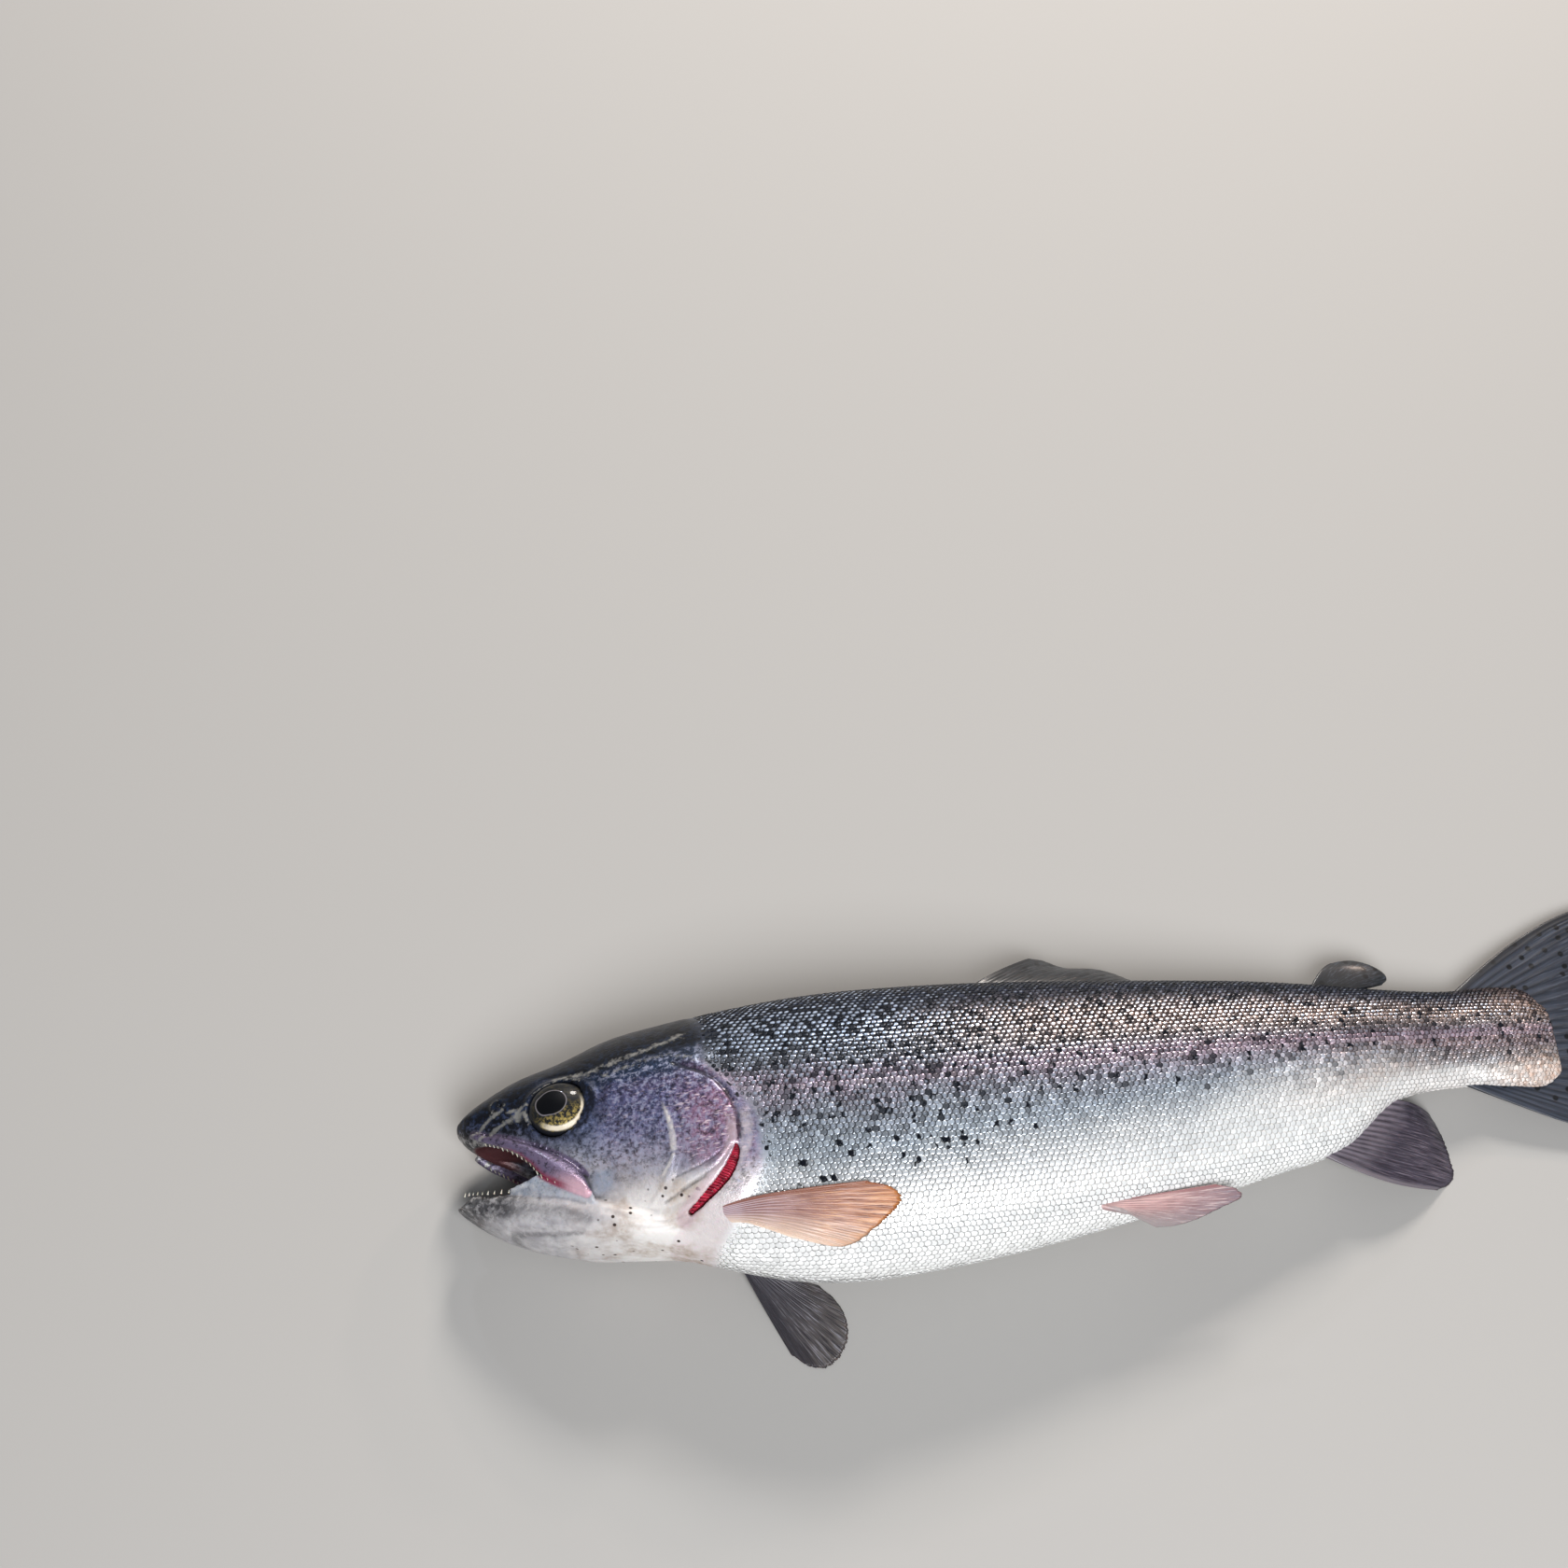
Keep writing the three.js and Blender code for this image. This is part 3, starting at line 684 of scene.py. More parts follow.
def in_ellipsoid(station: Array, rise: Array, out: Array, hollow: tuple) -> Array:
    """How far out of an ellipsoid points are: 1 on its surface."""
    at, level, (a, b, c) = hollow
    return np.sqrt(((station - at) / a) ** 2 + ((rise - level) / b) ** 2 + (out / c) ** 2)


@dataclass
class Markings:
    """Where the fish's colours change: the same numbers for the skin and for the scales on it."""

    body: Body = BODY
    girth: Girth = field(default_factory=lambda: GIRTH)

    def scaled(self, station: Array, girth: Array) -> Array:
        """How far behind the line where the scales begin a place is, in mm."""
        return station - SCALES_START(girth)

    def marks(self, points: Array) -> dict[str, Array]:
        """Works out every mark.

        Args:
            points: points of the fish in metres.

        Returns:
            The marks by the names that the materials read, each one number for a point.
        """
        s, r, out = fish_places(points)
        g = self.girth.at(s, self.body.turn_of(np.minimum(s, TAIL_ROUNDS), r))
        around = (g - 0.5) * np.interp(s, self.girth.stations, self.girth.whole)
        behind = self.scaled(s, g)
        head = 1 - fade(behind, -2.5, 1.5)
        dx, dy = (s - EYE_STATION) / EYE_LONG, (r - EYE_RISE) / EYE_TALL
        eye = EYE_LONG * np.hypot(dx, dy)
        cover = fade(s, 57, 63) * fade(r, -33, -26) * fade(-r, -6, 2) * head
        cheek = fade(s, 36, 46) * fade(r, -32, -22) * fade(-r, -2, 4) * head
        reach = s - COVER_REACH(r)
        rosy = 0.85 * cover * fade(s, 58, 72) * (0.1 + 0.9 * fade(-r, 2, 14)) + 0.25 * cheek
        wide = 0.2 + 0.5 * fade(-r, 9, 20)
        pale = 0.95 * (1 - fade(PREOPERCLE.distance(s, r) - wide, -0.1, 0.4)) * fade(-r, 8, 13)
        pale = np.maximum(pale * (r > -24), 0.95 * PREOPERCLE_FOOT.line(s, r, 0.15, 0.7)) * head
        beyond = head * fade(reach, 0.6, 1.8) * fade(-r, -4, 2)
        band = beyond * (1 - fade(reach, 4.0, 5.5)) * fade(-r, 12, 18)
        throat = fade(-r, 27.5, 34) * head * fade(s, 28, 34)
        pale = np.maximum.reduce([pale, 0.55 * band, 0.8 * throat])
        # painted shade: dark lines in the gill cover's folds, and a painted shadow under its free edge
        folds = np.maximum.reduce([fold.line(s, r, 0.1, 0.5) for fold in COVER_FOLDS])
        free = GILL_COVER_REAR.line(s - 0.7, r, 0.3, 1.0)
        low = 0.8 - 0.14 * fade(s, 100, 190)
        spotty = 0.85 * fade(g, low, low - 0.14) * (1 - 0.3 * fade(s, 110, 220))
        spotty = spotty * (1 - head) + 0.3 * head * fade(r, -4, 8)
        # the lining of the mouth; its colour also paints the shade inside the mouth
        roof, scoop = in_ellipsoid(s, r, out, MOUTH_ROOF), in_ellipsoid(s, r, out, JAW_SCOOP)
        palate = (1 - fade(roof, 1.02, 1.1)) * np.maximum(fade(r, -22.5, -20.5), fade(s, 3, 6))
        lining = np.maximum(palate, (1 - fade(scoop, 1.03, 1.12)) * fade(s, 3, 6)) * (s < 45)
        sunk = self.body.flank(s, r) - np.abs(out)
        slit = fade(sunk, 0.9, 2.2) * fade(s, 61, 66) * (s < 90) * fade(-r, 6, 12) * (r > -46)
        band_pink = 0.4 * np.exp(-(((g - 0.5) / 0.07) ** 2)) * fade(s, 120, 220) * (1 - head)
        veil = 0.75 * (1 - fade(s, 36, 54)) * fade(-r, 23, 28) * (1 - lining)
        veil = veil * (0.55 + 0.4 * fade(r, -42, -38))
        side = fade(g, 0.47, 0.56) * (1 - fade(g, 0.7, 0.82))
        turn_pale = 0.08 * np.exp(-(((s - 240) / 34) ** 2)) - 0.03 * (1 - fade(s, 110, 160)) * (1 - head)
        turn_pale = turn_pale - 0.13 * fade(s, 258, 290)
        return {
            "girth": g + side * turn_pale, "around": around, "bare": head,
            "rosy": np.clip(np.maximum(rosy * (reach < 1), 0.55 * beyond) + band_pink, 0, 1), "pale": pale,
            "dark": np.maximum.reduce([self.head_dark(s, r, eye, head), 0.5 * folds * head,
                                       0.75 * free * (r > -24)]),
            "film": self.film(s, r, dx, dy) * head, "spotty": spotty, "lining": lining,
            "slit": slit * (out > 0),
            "cheek": throat * (1 - fade(s, 66, 76)), "veil": veil,
            "pepper": np.maximum((0.2 + 0.8 * fade(r, -34, -20)) * (1 - pale),
                                 0.8 * beyond * (1 - band) * fade(r, -40, -34)),
            "warm": self.warm(s, g, side),
        }

    def warm(self, s: Array, g: Array, side: Array) -> Array:
        """How much peach lies over the silver: at the tail's root, over the line, low on the stalk.

        Args:
            s: stations.
            g: shares of the girth.
            side: how far into the side each is.

        Returns:
            The shares of the tint.
        """
        root = fade(s, 286, 312) * (0.55 - 0.3 * np.exp(-(((g - 0.52) / 0.12) ** 2)))
        root *= 0.25 + 0.75 * fade(g, 0.1, 0.3) + 0.6 * fade(g, 0.6, 0.75)
        low = 0.25 * fade(s, 250, 280) * fade(g, 0.6, 0.85)
        over = 0.5 * np.exp(-(((g - 0.34) / 0.1) ** 2)) * fade(s, 110, 180)
        return np.maximum(root, 0.42 * fade(s, 215, 270) * side + over + low)

    def head_dark(self, s: Array, r: Array, eye: Array, head: Array) -> Array:
        """How dark the crown, snout, eye rings and lower jaw's tip and edge are; the jaw's fold gets painted
        shade.

        Args:
            s: stations.
            r: rises.
            eye: mm from the eye's middle.
            head: where the skin is bare.

        Returns:
            The darkness, 0 to 1.
        """
        crown = fade(r - CROWN_EDGE(s), -3.5, 1.5)
        snout = (1 - fade(s, 20, 32)) * fade(r, -14, -8)
        orbit = np.maximum(0.9 * (1 - fade(eye, 9.6, 11.6)), 0.6 * (1 - fade(eye, 10, 18)))
        jaw = fade(-r, 19, 21)
        rim = fade(r + 0.27 * s, -30.5, -27) * (1 - fade(s, 11, 25)) * jaw
        chin = np.maximum(1 - fade(s, 0.5, 5), rim) * jaw
        smudge = (1 - fade(s, 10, 34)) * fade(r, -36, -27) * jaw
        band = 0.4 * JAW_BAND.line(s, r, 0.3, 2.6)
        # painted shade in the lower jaw's fold
        fold = 0.5 * JAW_FOLD.line(s, r, 0.1, 0.6)
        return head * np.maximum.reduce([0.97 * crown, 0.97 * snout, orbit, 0.85 * chin, 0.6 * smudge, band,
                                         fold])

    def film(self, s: Array, r: Array, dx: Array, dy: Array) -> Array:
        """Painted highlights of wet skin: ahead of the eye, on its rim, round the nostril, by the crown.

        Args:
            s: stations.
            r: rises.
            dx: eye radii behind the eye's middle.
            dy: eye radii over it.

        Returns:
            The shares of the painted highlight.
        """

        def streak(path: Path, width: float) -> Array:
            """A soft line along a path."""
            return np.clip(1 - path.distance(s, r) / width, 0, 1)

        streaks = np.maximum.reduce([streak(path, 1.5) for path in SNOUT_PAINTED_SHEEN])
        star = np.clip(1.3 - np.hypot(s - 18.3, r + 3.5) / 2.6, 0, 1)
        rim = np.exp(-(((np.hypot(dx, dy) - 1.11) / 0.04) ** 2)) * (0.45 + 0.55 * fade(dy - dx, -0.6, 0.6))
        nose = 0.6 * np.exp(-(((np.hypot(s - NOSTRIL[0], r - NOSTRIL[1]) - 2.1) / 0.4) ** 2))
        crown = np.maximum(0.8 * streak(CROWN_PAINTED_SHEEN[0], 2.6), 0.66 * streak(CROWN_PAINTED_SHEEN[1], 2.2))
        return np.maximum.reduce([streaks, star, 0.85 * rim, nose, crown])


MARKINGS = Markings()


@dataclass(frozen=True)
class FishColours:
    """Trout colours: steel back, silver side, faint rose band, white belly; painted shade and sheen on the
    head.
    """

    flank: tuple = (
        (0.0, "#0b0f17"), (0.2, "#141c2c"), (0.31, "#2e333d"), (0.42, "#62656d"), (0.475, "#8b7e8c"),
        (0.545, "#8d929c"), (0.63, "#acb6c0"), (0.74, "#dde0e1"), (0.84, "#f4f5f3"), (1.0, "#fbfbf8"),
    )
    bare_head: tuple = (
        (0.0, "#1b2231"), (0.27, "#25334b"), (0.35, "#212e44"), (0.42, "#283a5a"), (0.5, "#43557f"),
        (0.62, "#6f7a9f"), (0.7, "#9c9eae"), (0.79, "#ccc6c6"), (0.88, "#e3e0dd"), (1.0, "#f2f0ed"),
    )
    rose: str = "#a77a92"
    cream: str = "#e9e4de"
    tan: str = "#a8937f"
    slate: str = "#16171b"
    scratch: str = "#e3cdd6"
    # painted highlight: the pale wet sheen on the head
    film: str = "#8f8e8a"
    web: str = "#9dabc0"
    veil: str = "#989499"
    cloud: str = "#262d3f"
    margin: str = "#cdb6bc"
    speck: str = "#3a2f2c"
    fleck: str = "#aeb1c8"
    spot: str = "#0b0c0f"
    bone: str = "#6a5f78"
    tip: str = "#dcb3bf"
    lip: str = "#8a2440"
    # the mouth's lining, darkened with painted shade
    lining: str = "#4a2b2d"
    slit: str = "#8c1528"
    warm: str = "#c7a48e"
    marks: Sequence[str] = (
        "girth", "around", "bare", "rosy", "pale", "cheek", "veil", "pepper", "dark", "bone", "film", "warm",
        "spotty", "margin", "web", "tip", "lip", "lining", "slit",
    )
    spot_spacing: float = 4.6  # mm between the middles of neighbouring spots
    spot_reach: float = 1.1  # mm from a spot's middle to its edge

    def spots(self, p: Painter, where: bpy.types.NodeSocket, marks: dict) -> bpy.types.Node:
        """Works out how black the spots make each place.

        Args:
            p: the material.
            where: the place on the piece.
            marks: the sockets of the numbers on the vertices.

        Returns:
            The node with the blackness.
        """
        warp = p.add(Node.NOISE, {"Vector": where, "Scale": 75.0, "Detail": 5.0, "Roughness": 0.6})
        along = p.add(Node.SPLIT, (where,)).outputs["X"]
        flat = p.add(Node.JOIN, (along, p.add(Node.MULTIPLY, (marks["around"], MM))))
        bent = p.add(Node.BEND, (warp.outputs["Color"], (0.012, 0.012, 0.0), flat))
        cells = p.add(Node.FLAT_CELLS, {"Vector": bent, "Scale": 1 / (self.spot_spacing * MM)})
        chance = p.add(Node.CHANNELS, (cells.outputs["Color"],))
        reach = self.spot_reach / self.spot_spacing
        size = p.add(Node.MULTIPLY_ADD, (chance.outputs[1], 0.6 * reach, 0.5 * reach))
        near = p.add(Node.MULTIPLY_HELD, (p.add(Node.SUBTRACT, (size, cells.outputs["Distance"])), 14.0))
        there = p.add(Node.LESS, (chance.outputs[0], marks["spotty"]))
        return p.add(Node.MULTIPLY, (p.add(Node.MULTIPLY, (near, there)), 0.95))

    def paint(self, p: Painter) -> tuple[bpy.types.Node, bpy.types.Node]:
        """Lays the pigment.

        Args:
            p: the material.

        Returns:
            The node with the colour, and the one with how black the spots make it.
        """
        marks = {name: p.add(Node.MARK, attribute_name=name).outputs["Fac"] for name in self.marks}
        where = p.add(Node.PLACE).outputs["Object"]
        broad, middling, fine, grain = (
            p.add(Node.NOISE, {"Vector": where, "Scale": scale, "Detail": detail, "Roughness": rough})
            for scale, detail, rough in ((90.0, 3.0, 0.5), (250.0, 3.0, 0.6), (620.0, 3.0, 0.6),
                                         (720.0, 4.0, 0.72))
        )
        mottle, patches, blotch, clouds, flecks, grains = (
            p.add(Node.RAMP, (noise,), stops=stops)
            for noise, stops in (
                (fine, ((0.32, 0.35), (0.68, 1.0))), (fine, ((0.38, 0.55), (0.52, 1.0))),
                (broad, ((0.46, 0.0), (0.6, 0.8))), (middling, ((0.45, 0.0), (0.62, 0.5))),
                (grain, ((0.38, 0.6), (0.5, 0.0))), (grain, ((0.5, 0.0), (0.64, 0.8))),
            )
        )
        girth = p.add(Node.ADD_HELD, (marks["girth"], p.add(Node.MULTIPLY_ADD, (broad, 0.1, -0.05))))
        body, head = (p.add(Node.RAMP, (girth,), stops=stops) for stops in (self.flank, self.bare_head))
        peppered = p.add(Node.MULTIPLY, (marks["bare"], marks["pepper"]))
        light = p.add(Node.MULTIPLY, (peppered, p.add(Node.SUBTRACT, (1.0, marks["dark"]))))
        turned = p.add(Node.TURN,
                       {"Vector": where, "Rotation": (0.0, 0.0, -0.85), "Scale": (380.0, 2100.0, 900.0)})
        streak = p.add(Node.NOISE, {"Vector": turned, "Scale": 1.0, "Detail": 1.0})
        scratch = p.add(Node.MULTIPLY_HELD, (p.add(Node.SUBTRACT, (streak, 0.61)), 12.0))
        torn = p.add(Node.MULTIPLY_ADD, (p.add(Node.SUBTRACT, (fine, 0.5)), 1.5, marks["film"]))
        film = p.add(Node.MULTIPLY_HELD, (p.add(Node.SUBTRACT, (torn, 0.5)), 2.6))
        dots = p.add(Node.CELLS, {"Vector": where, "Scale": 260.0})
        speck = p.add(Node.MULTIPLY_HELD, (p.add(Node.SUBTRACT, (0.16, dots.outputs["Distance"])), 16.0))
        thick = p.add(Node.MULTIPLY_ADD, (middling, 1.2, 0.35))
        spots = self.spots(p, where, marks)
        colour = body
        for shade, share in (  # from the lowest layer to the top one
            (head, marks["bare"]),
            (self.rose, p.add(Node.MULTIPLY_HELD, (marks["rosy"], mottle))),
            (self.cream, p.add(Node.MULTIPLY_HELD, (marks["pale"], mottle))),
            (self.tan, p.add(Node.MULTIPLY, (blotch, p.add(Node.MULTIPLY, (marks["cheek"], mottle))))),
            (self.veil, p.add(Node.MULTIPLY_HELD, (marks["veil"], thick))),
            (self.cloud, p.add(Node.MULTIPLY, (clouds, peppered))),
            (self.fleck, p.add(Node.MULTIPLY, (flecks, light))),
            (self.bone, marks["bone"]),
            (self.scratch, p.add(Node.MULTIPLY, (scratch, marks["rosy"]))),
            (self.slate, p.add(Node.MULTIPLY, (grains, peppered))),
            # dark is pigment, plus painted shade in the head's folds and grooves and under the gill cover's
            # free edge
            (self.slate, p.add(Node.MULTIPLY, (marks["dark"], patches))),
            # painted highlights of the wet skin on the head
            (self.film, p.add(Node.MULTIPLY, (film, 0.85))),
            (self.speck, p.add(Node.MULTIPLY, (speck, marks["cheek"]))),
            (self.warm, p.add(Node.MULTIPLY, (marks["warm"], mottle))),
            (self.spot, spots),
            (self.margin, marks["margin"]),
            (self.web, p.add(Node.MULTIPLY, (marks["web"], mottle))),
            (self.tip, marks["tip"]),
            (self.lip, marks["lip"]),
            # mouth lining, with painted shade
            (self.lining, marks["lining"]),
            (self.slit, marks["slit"]),
        ):
            colour = p.add(Node.LAYER, (share, colour, shade))
        return colour, spots


@dataclass(frozen=True)
class WetSkin:
    """Fresh fish skin, wet: silvered cells under clear slime shine softly, with a sharp glaze on top."""

    colours: FishColours = FishColours()
    pore: float = 0.5  # mm

    def dress(self, *pieces: Piece) -> None:
        """Puts the finish on pieces.

        Args:
            *pieces: what wears it.
        """
        p = Painter("wet trout skin")
        colour, _ = self.colours.paint(p)
        girth, cheek, dark = (
            p.add(Node.MARK, attribute_name=name).outputs["Fac"] for name in ("girth", "cheek", "dark")
        )
        where = p.add(Node.PLACE).outputs["Object"]
        grain = p.add(Node.NOISE, {"Vector": where, "Scale": 1 / (self.pore * MM), "Detail": 2.0})
        folds = p.add(Node.NOISE, {"Vector": where, "Scale": 330.0, "Detail": 4.0, "Roughness": 0.65})
        height = p.add(Node.MULTIPLY_ADD, (folds, 2.0, grain))
        surface = p.add(Node.SURFACE, {
            "Base Color": colour,
            "Metallic": p.add(Node.RAMP, (girth,), stops=((0.3, 0.1), (0.6, 0.4), (1.0, 0.12))),
            "Roughness": p.add(Node.MULTIPLY_ADD, (folds, 0.3, p.add(Node.MULTIPLY_ADD, (cheek, 0.3, 0.2)))),
            "Normal": p.add(Node.BUMP, {"Strength": 0.35, "Distance": 0.00025, "Height": height}),
            "Coat Weight": p.add(Node.MULTIPLY_ADD_HELD, (p.add(Node.MAXIMUM, (dark, cheek)), -0.3, 0.35)),
            "Coat Roughness": 0.16, "IOR": 1.34, "Specular IOR Level": 0.3, "Subsurface Weight": 0.04,
            "Subsurface Scale": 0.001,
        })
        p.dress(surface, *pieces)


@dataclass(frozen=True)
class TroutScale:
    """Thin overlapping scales: clear horn over silver, with a line of dark pigment along each free edge."""

    colours: FishColours = FishColours()
    # partly the scales' own silver, partly a painted highlight on each scale's centre
    silver: str = "#bcc6d2"
    # painted highlight: a pale dot that stands for a glint on a scale
    flash: str = "#c6d4ea"
    pore: str = "#dac6d0"
    edge: str = "#12151c"

    def dress(self, *pieces: Piece) -> None:
        """Puts the finish on pieces.

        Args:
            *pieces: what wears it.
        """
        p = Painter("trout scale")
        pigment, spot = self.colours.paint(p)
        girth, tone, rim, glint, line, dulled = (
            p.add(Node.MARK, attribute_name=name).outputs["Fac"]
            for name in ("girth", "tone", "rim", "glint", "line", "dull")
        )
        centre, edge, painted_glint_dot, silver, depth, shine, glaze = (
            p.add(Node.RAMP, (source,), stops=stops)
            for source, stops in (
                (rim, ((0.2, 1.0), (0.42, 0.0))),
                (rim, ((0.5, 0.0), (0.88, 1.0))),
                (glint, ((0.34, 0.0), (0.64, 0.85))),
                (girth, ((0.04, 0.0), (0.15, 0.02), (0.3, 0.1), (0.42, 0.18), (0.56, 0.16), (0.7, 0.0))),
                (girth, ((0.3, 0.95), (0.5, 0.92), (0.6, 0.82), (0.7, 0.5), (0.82, 0.08))),
                (girth, ((0.18, 0.0), (0.3, 0.5), (0.4, 0.6), (0.66, 0.5), (0.84, 0.16))),
                (girth, ((0.14, 0.02), (0.3, 0.42))),
            )
        )
        dull = p.add(Node.MAXIMUM, (spot, dulled))
        bright = p.add(Node.SUBTRACT, (1.0, p.add(Node.MULTIPLY, (dull, 0.95))))
        colour = p.add(Node.TINT, (1.0, pigment, tone))
        for shade, share in (
            # each scale's pale centre: partly its silver, partly a painted highlight
            (self.silver, p.add(Node.MULTIPLY_HELD, (centre, p.add(Node.MULTIPLY, (silver, tone))))),
            # the painted highlight dot
            (self.flash, painted_glint_dot),
            (self.pore, p.add(Node.MULTIPLY, (line, 0.42))),
            (self.edge, dull),
            (self.edge, p.add(Node.MULTIPLY, (edge, depth))),
        ):
            colour = p.add(Node.LAYER, (share, colour, shade))
        surface = p.add(Node.SURFACE, {
            "Base Color": colour, "Metallic": p.add(Node.MULTIPLY, (shine, bright)), "Roughness": 0.19,
            "Coat Weight": p.add(Node.MULTIPLY, (glaze, bright)), "Coat Roughness": 0.06, "IOR": 1.4,
            "Specular IOR Level": 0.12,
        })
        p.dress(surface, *pieces)


# --- the skin ---


@dataclass
class Patch:
    """A sheet of sampled points that tells how near other points are, and to which place of the sheet."""

    shape: Callable[[Array, Array], Array]
    steps: int = 60

    def __post_init__(self) -> None:
        """Samples the sheet."""
        u, v = np.meshgrid(np.linspace(0, 1, self.steps), np.linspace(0, 1, self.steps // 2), indexing="ij")
        self.u, self.v = u.ravel(), v.ravel()
        self.points = self.shape(self.u, self.v)

    def near(self, points: Array) -> tuple[Array, Array, Array]:
        """Finds each point's nearest sample.

        Args:
            points: points in metres.

        Returns:
            The distances in mm, and the samples' places u and v.
        """
        tree = KDTree(len(self.points))
        for i, sample in enumerate(self.points):
            tree.insert(sample, i)
        tree.balance()
        found = [tree.find(wanted)[1:] for wanted in points]
        index = np.array([i for i, _ in found])
        return np.array([d for _, d in found]) / MM, self.u[index], self.v[index]


@dataclass
class Skin:
    """One skin over the head, the jaws, the gill covers, the trunk and the tail's root."""

    body: Body = BODY
    head_end: float = 95.0
    trunk_start: float = 80.0
    voxel: float = 0.54  # mm
    jaw_rows: Sequence[tuple[float, float, float, float, float]] = (
        (-0.9, -21.9, -24.2, 2.2, 14.5),
        (1.8, -20.7, -26.6, 5.4, 14.7),
        (9, -22.1, -32.0, 8.8, 15.6),
        (20, -24.3, -38.0, 12.0, 17.1),
        (33, -28.0, -41.6, 14.6, 18.7),
        (45, -32.5, -43.2, 15.2, 20.0),
        (56, -36.5, -45.0, 12.5, 21.0),
        (64, -37.5, -47.6, 8.5, 21.7),
        (70, -41.0, -49.0, 4.0, 22.2),
    )
    jaw_squareness: float = 0.75
    cover_thick: float = 2.0
    cover_lift: dict = field(default_factory=lambda: {Side.LEFT: 1.1, Side.RIGHT: 0.2})
    maxilla_thick: float = 1.7
    maxilla_reach: Pair = (8.2, 17.0)
    maxilla_bulge: float = 1.2
    web_low: Path = Path(((13.6, -24.4), (20.8, -26.7), (29.0, -29.4), (38.4, -33.4)))
    web_high: Path = Path(((23.0, -21.8), (27.4, -23.8), (32.2, -26.2), (37.4, -29.4)))
    web_thick: float = 1.2
    eye_gap: float = 0.35  # mm between an eye and its socket
    nostrils: Sequence[tuple[float, float, float]] = ((11.8, 0.2, 0.75), (13.4, 1.2, 0.95))  # with radius
    slit_half: float = 2.9
    folds: Sequence[tuple[Path, float, float]] = (  # each with its height and its width
        (PREOPERCLE, 0.2, 0.5),
        (PREOPERCLE_FOOT, 0.25, 0.4),
        (Path(((62.2, -2.5), (61.2, -8.5), (63.0, -15.5), (63.4, -21.5), (62.8, -27), (59.8, -32.5))), -0.2,
         0.6),
        *((fold, -0.28, 0.45) for fold in COVER_FOLDS),
        (MAXILLA_UPPER, -0.35, 0.5),
        (Path([(s + 1.1, r) for s, r in GILL_COVER_REAR.points[:4]]), -0.6, 0.6),
        (Path(((64.5, -36.8), (57.5, -37.5), (50.5, -36.0), (42.5, -32.8))), -0.3, 0.7),
        (Path(((67.5, -38.8), (59.0, -40.3), (49.0, -39.6), (40.5, -36.6))), -0.35, 0.6),
        (Path(((63.5, -41.5), (55.0, -42.4), (46.0, -41.4))), -0.35, 0.6),
        (JAW_FOLD, -0.5, 0.7),
        (Path(((25.7, -39.6), (26.3, -40.3), (27.8, -40.9), (31.5, -41.3))), -0.35, 0.8),
        (Path([(s, r + 1.4) for s, r in JAW_BAND.points]), 0.22, 1.1),
        (Path(((20.5, -9.5), (25.0, -14.5), (32.0, -17.0), (40.0, -15.5), (45.5, -9.5), (47.0, -2.5))),
         -0.22, 0.8),
        (Path(((45.0, 3.0), (50.5, -1.0), (56.0, -2.5))), -0.2, 0.8),
        (Path(((2.0, 0.2), (6.5, -1.6), (13.5, -4.5), (20.0, -7.4))), -0.3, 0.6),
    )
    replaced: Sequence[str] = (
        "head", "lower_jaw", "trunk", "tail_stalk", "gill_cover_left", "gill_cover_right", "maxilla_left",
        "maxilla_right",
    )

    def head_shape(self, u: Array, w: Array) -> Array:
        """The head and its neck, which dips under the scales and then under the trunk's skin.

        Args:
            u: how far along it, 0 to 1.
            w: how far round it, 0 to 1.

        Returns:
            The points in metres.
        """
        station = self.head_end * u**1.25
        turn = 2 * math.pi * w
        girth = GIRTH.at(station, np.minimum(turn, 2 * math.pi - turn))
        behind = MARKINGS.scaled(station, girth)
        inset = SKIN_UNDER_SCALES * fade(behind, -3, 1.5) + 1.2 * fade(station, 84, 95)
        return self.body.skin(station, turn, inset)

    def trunk_shape(self, u: Array, w: Array) -> Array:
        """The trunk and the tail's root, as deep under the outline as the scales want it."""
        station = self.trunk_start + (FLESH_END - self.trunk_start) * u
        return self.body.skin(station, 2 * math.pi * w, SKIN_UNDER_SCALES)

    def jaw_shape(self, u: Array, w: Array) -> Array:
        """The lower jaw.

        Args:
            u: how far along it, 0 to 1.
            w: how far round it, 0 to 1.

        Returns:
            The points in metres.
        """
        at = [row[0] for row in self.jaw_rows]
        station = at[0] + (at[-1] - at[0]) * u**1.4
        top, bottom, half, mid = (Curve(at, [row[k] for row in self.jaw_rows])(station)
                                  for k in (1, 2, 3, 4))
        turn = 2 * math.pi * w
        c, s = (np.sign(x) * np.abs(x) ** self.jaw_squareness for x in (np.cos(turn), np.sin(turn)))
        return place(station, (top + bottom) / 2 + (top - bottom) / 2 * c, mid + half * s)

    def cover_sheet(self, side: Side) -> Place:
        """The middle of a gill cover: u towards its free edge, v down it.

        Args:
            side: which cover.

        Returns:
            The sheet.
        """

        def sheet(u: Array, v: Array) -> Array:
            """The point at u and v."""
            station, rise = between(GILL_COVER_FRONT, GILL_COVER_REAR, v, u)
            lift = self.cover_lift[side] * np.clip(u, 0, 1) ** 2 * np.sin(np.pi * np.clip(v, 0, 1))
            reach = self.body.flank(station, rise) + lift - self.cover_thick / 2
            return place(station, rise, self.body.middle(station) + side.value * reach)

        return sheet

    def cover_half(self, u: Array, v: Array) -> Array:
        """Half a gill cover's thickness, which thins towards its free edge."""
        return 0.5 * self.cover_thick * (0.42 + 0.58 * (1 - u**3))

    def bone_reach(self, u: Array) -> Array:
        """How far an upper jaw bone stands out of the middle plane along its length."""
        front, rear = self.maxilla_reach
        return front + (rear - front) * np.clip(u, 0, 1) ** 0.62

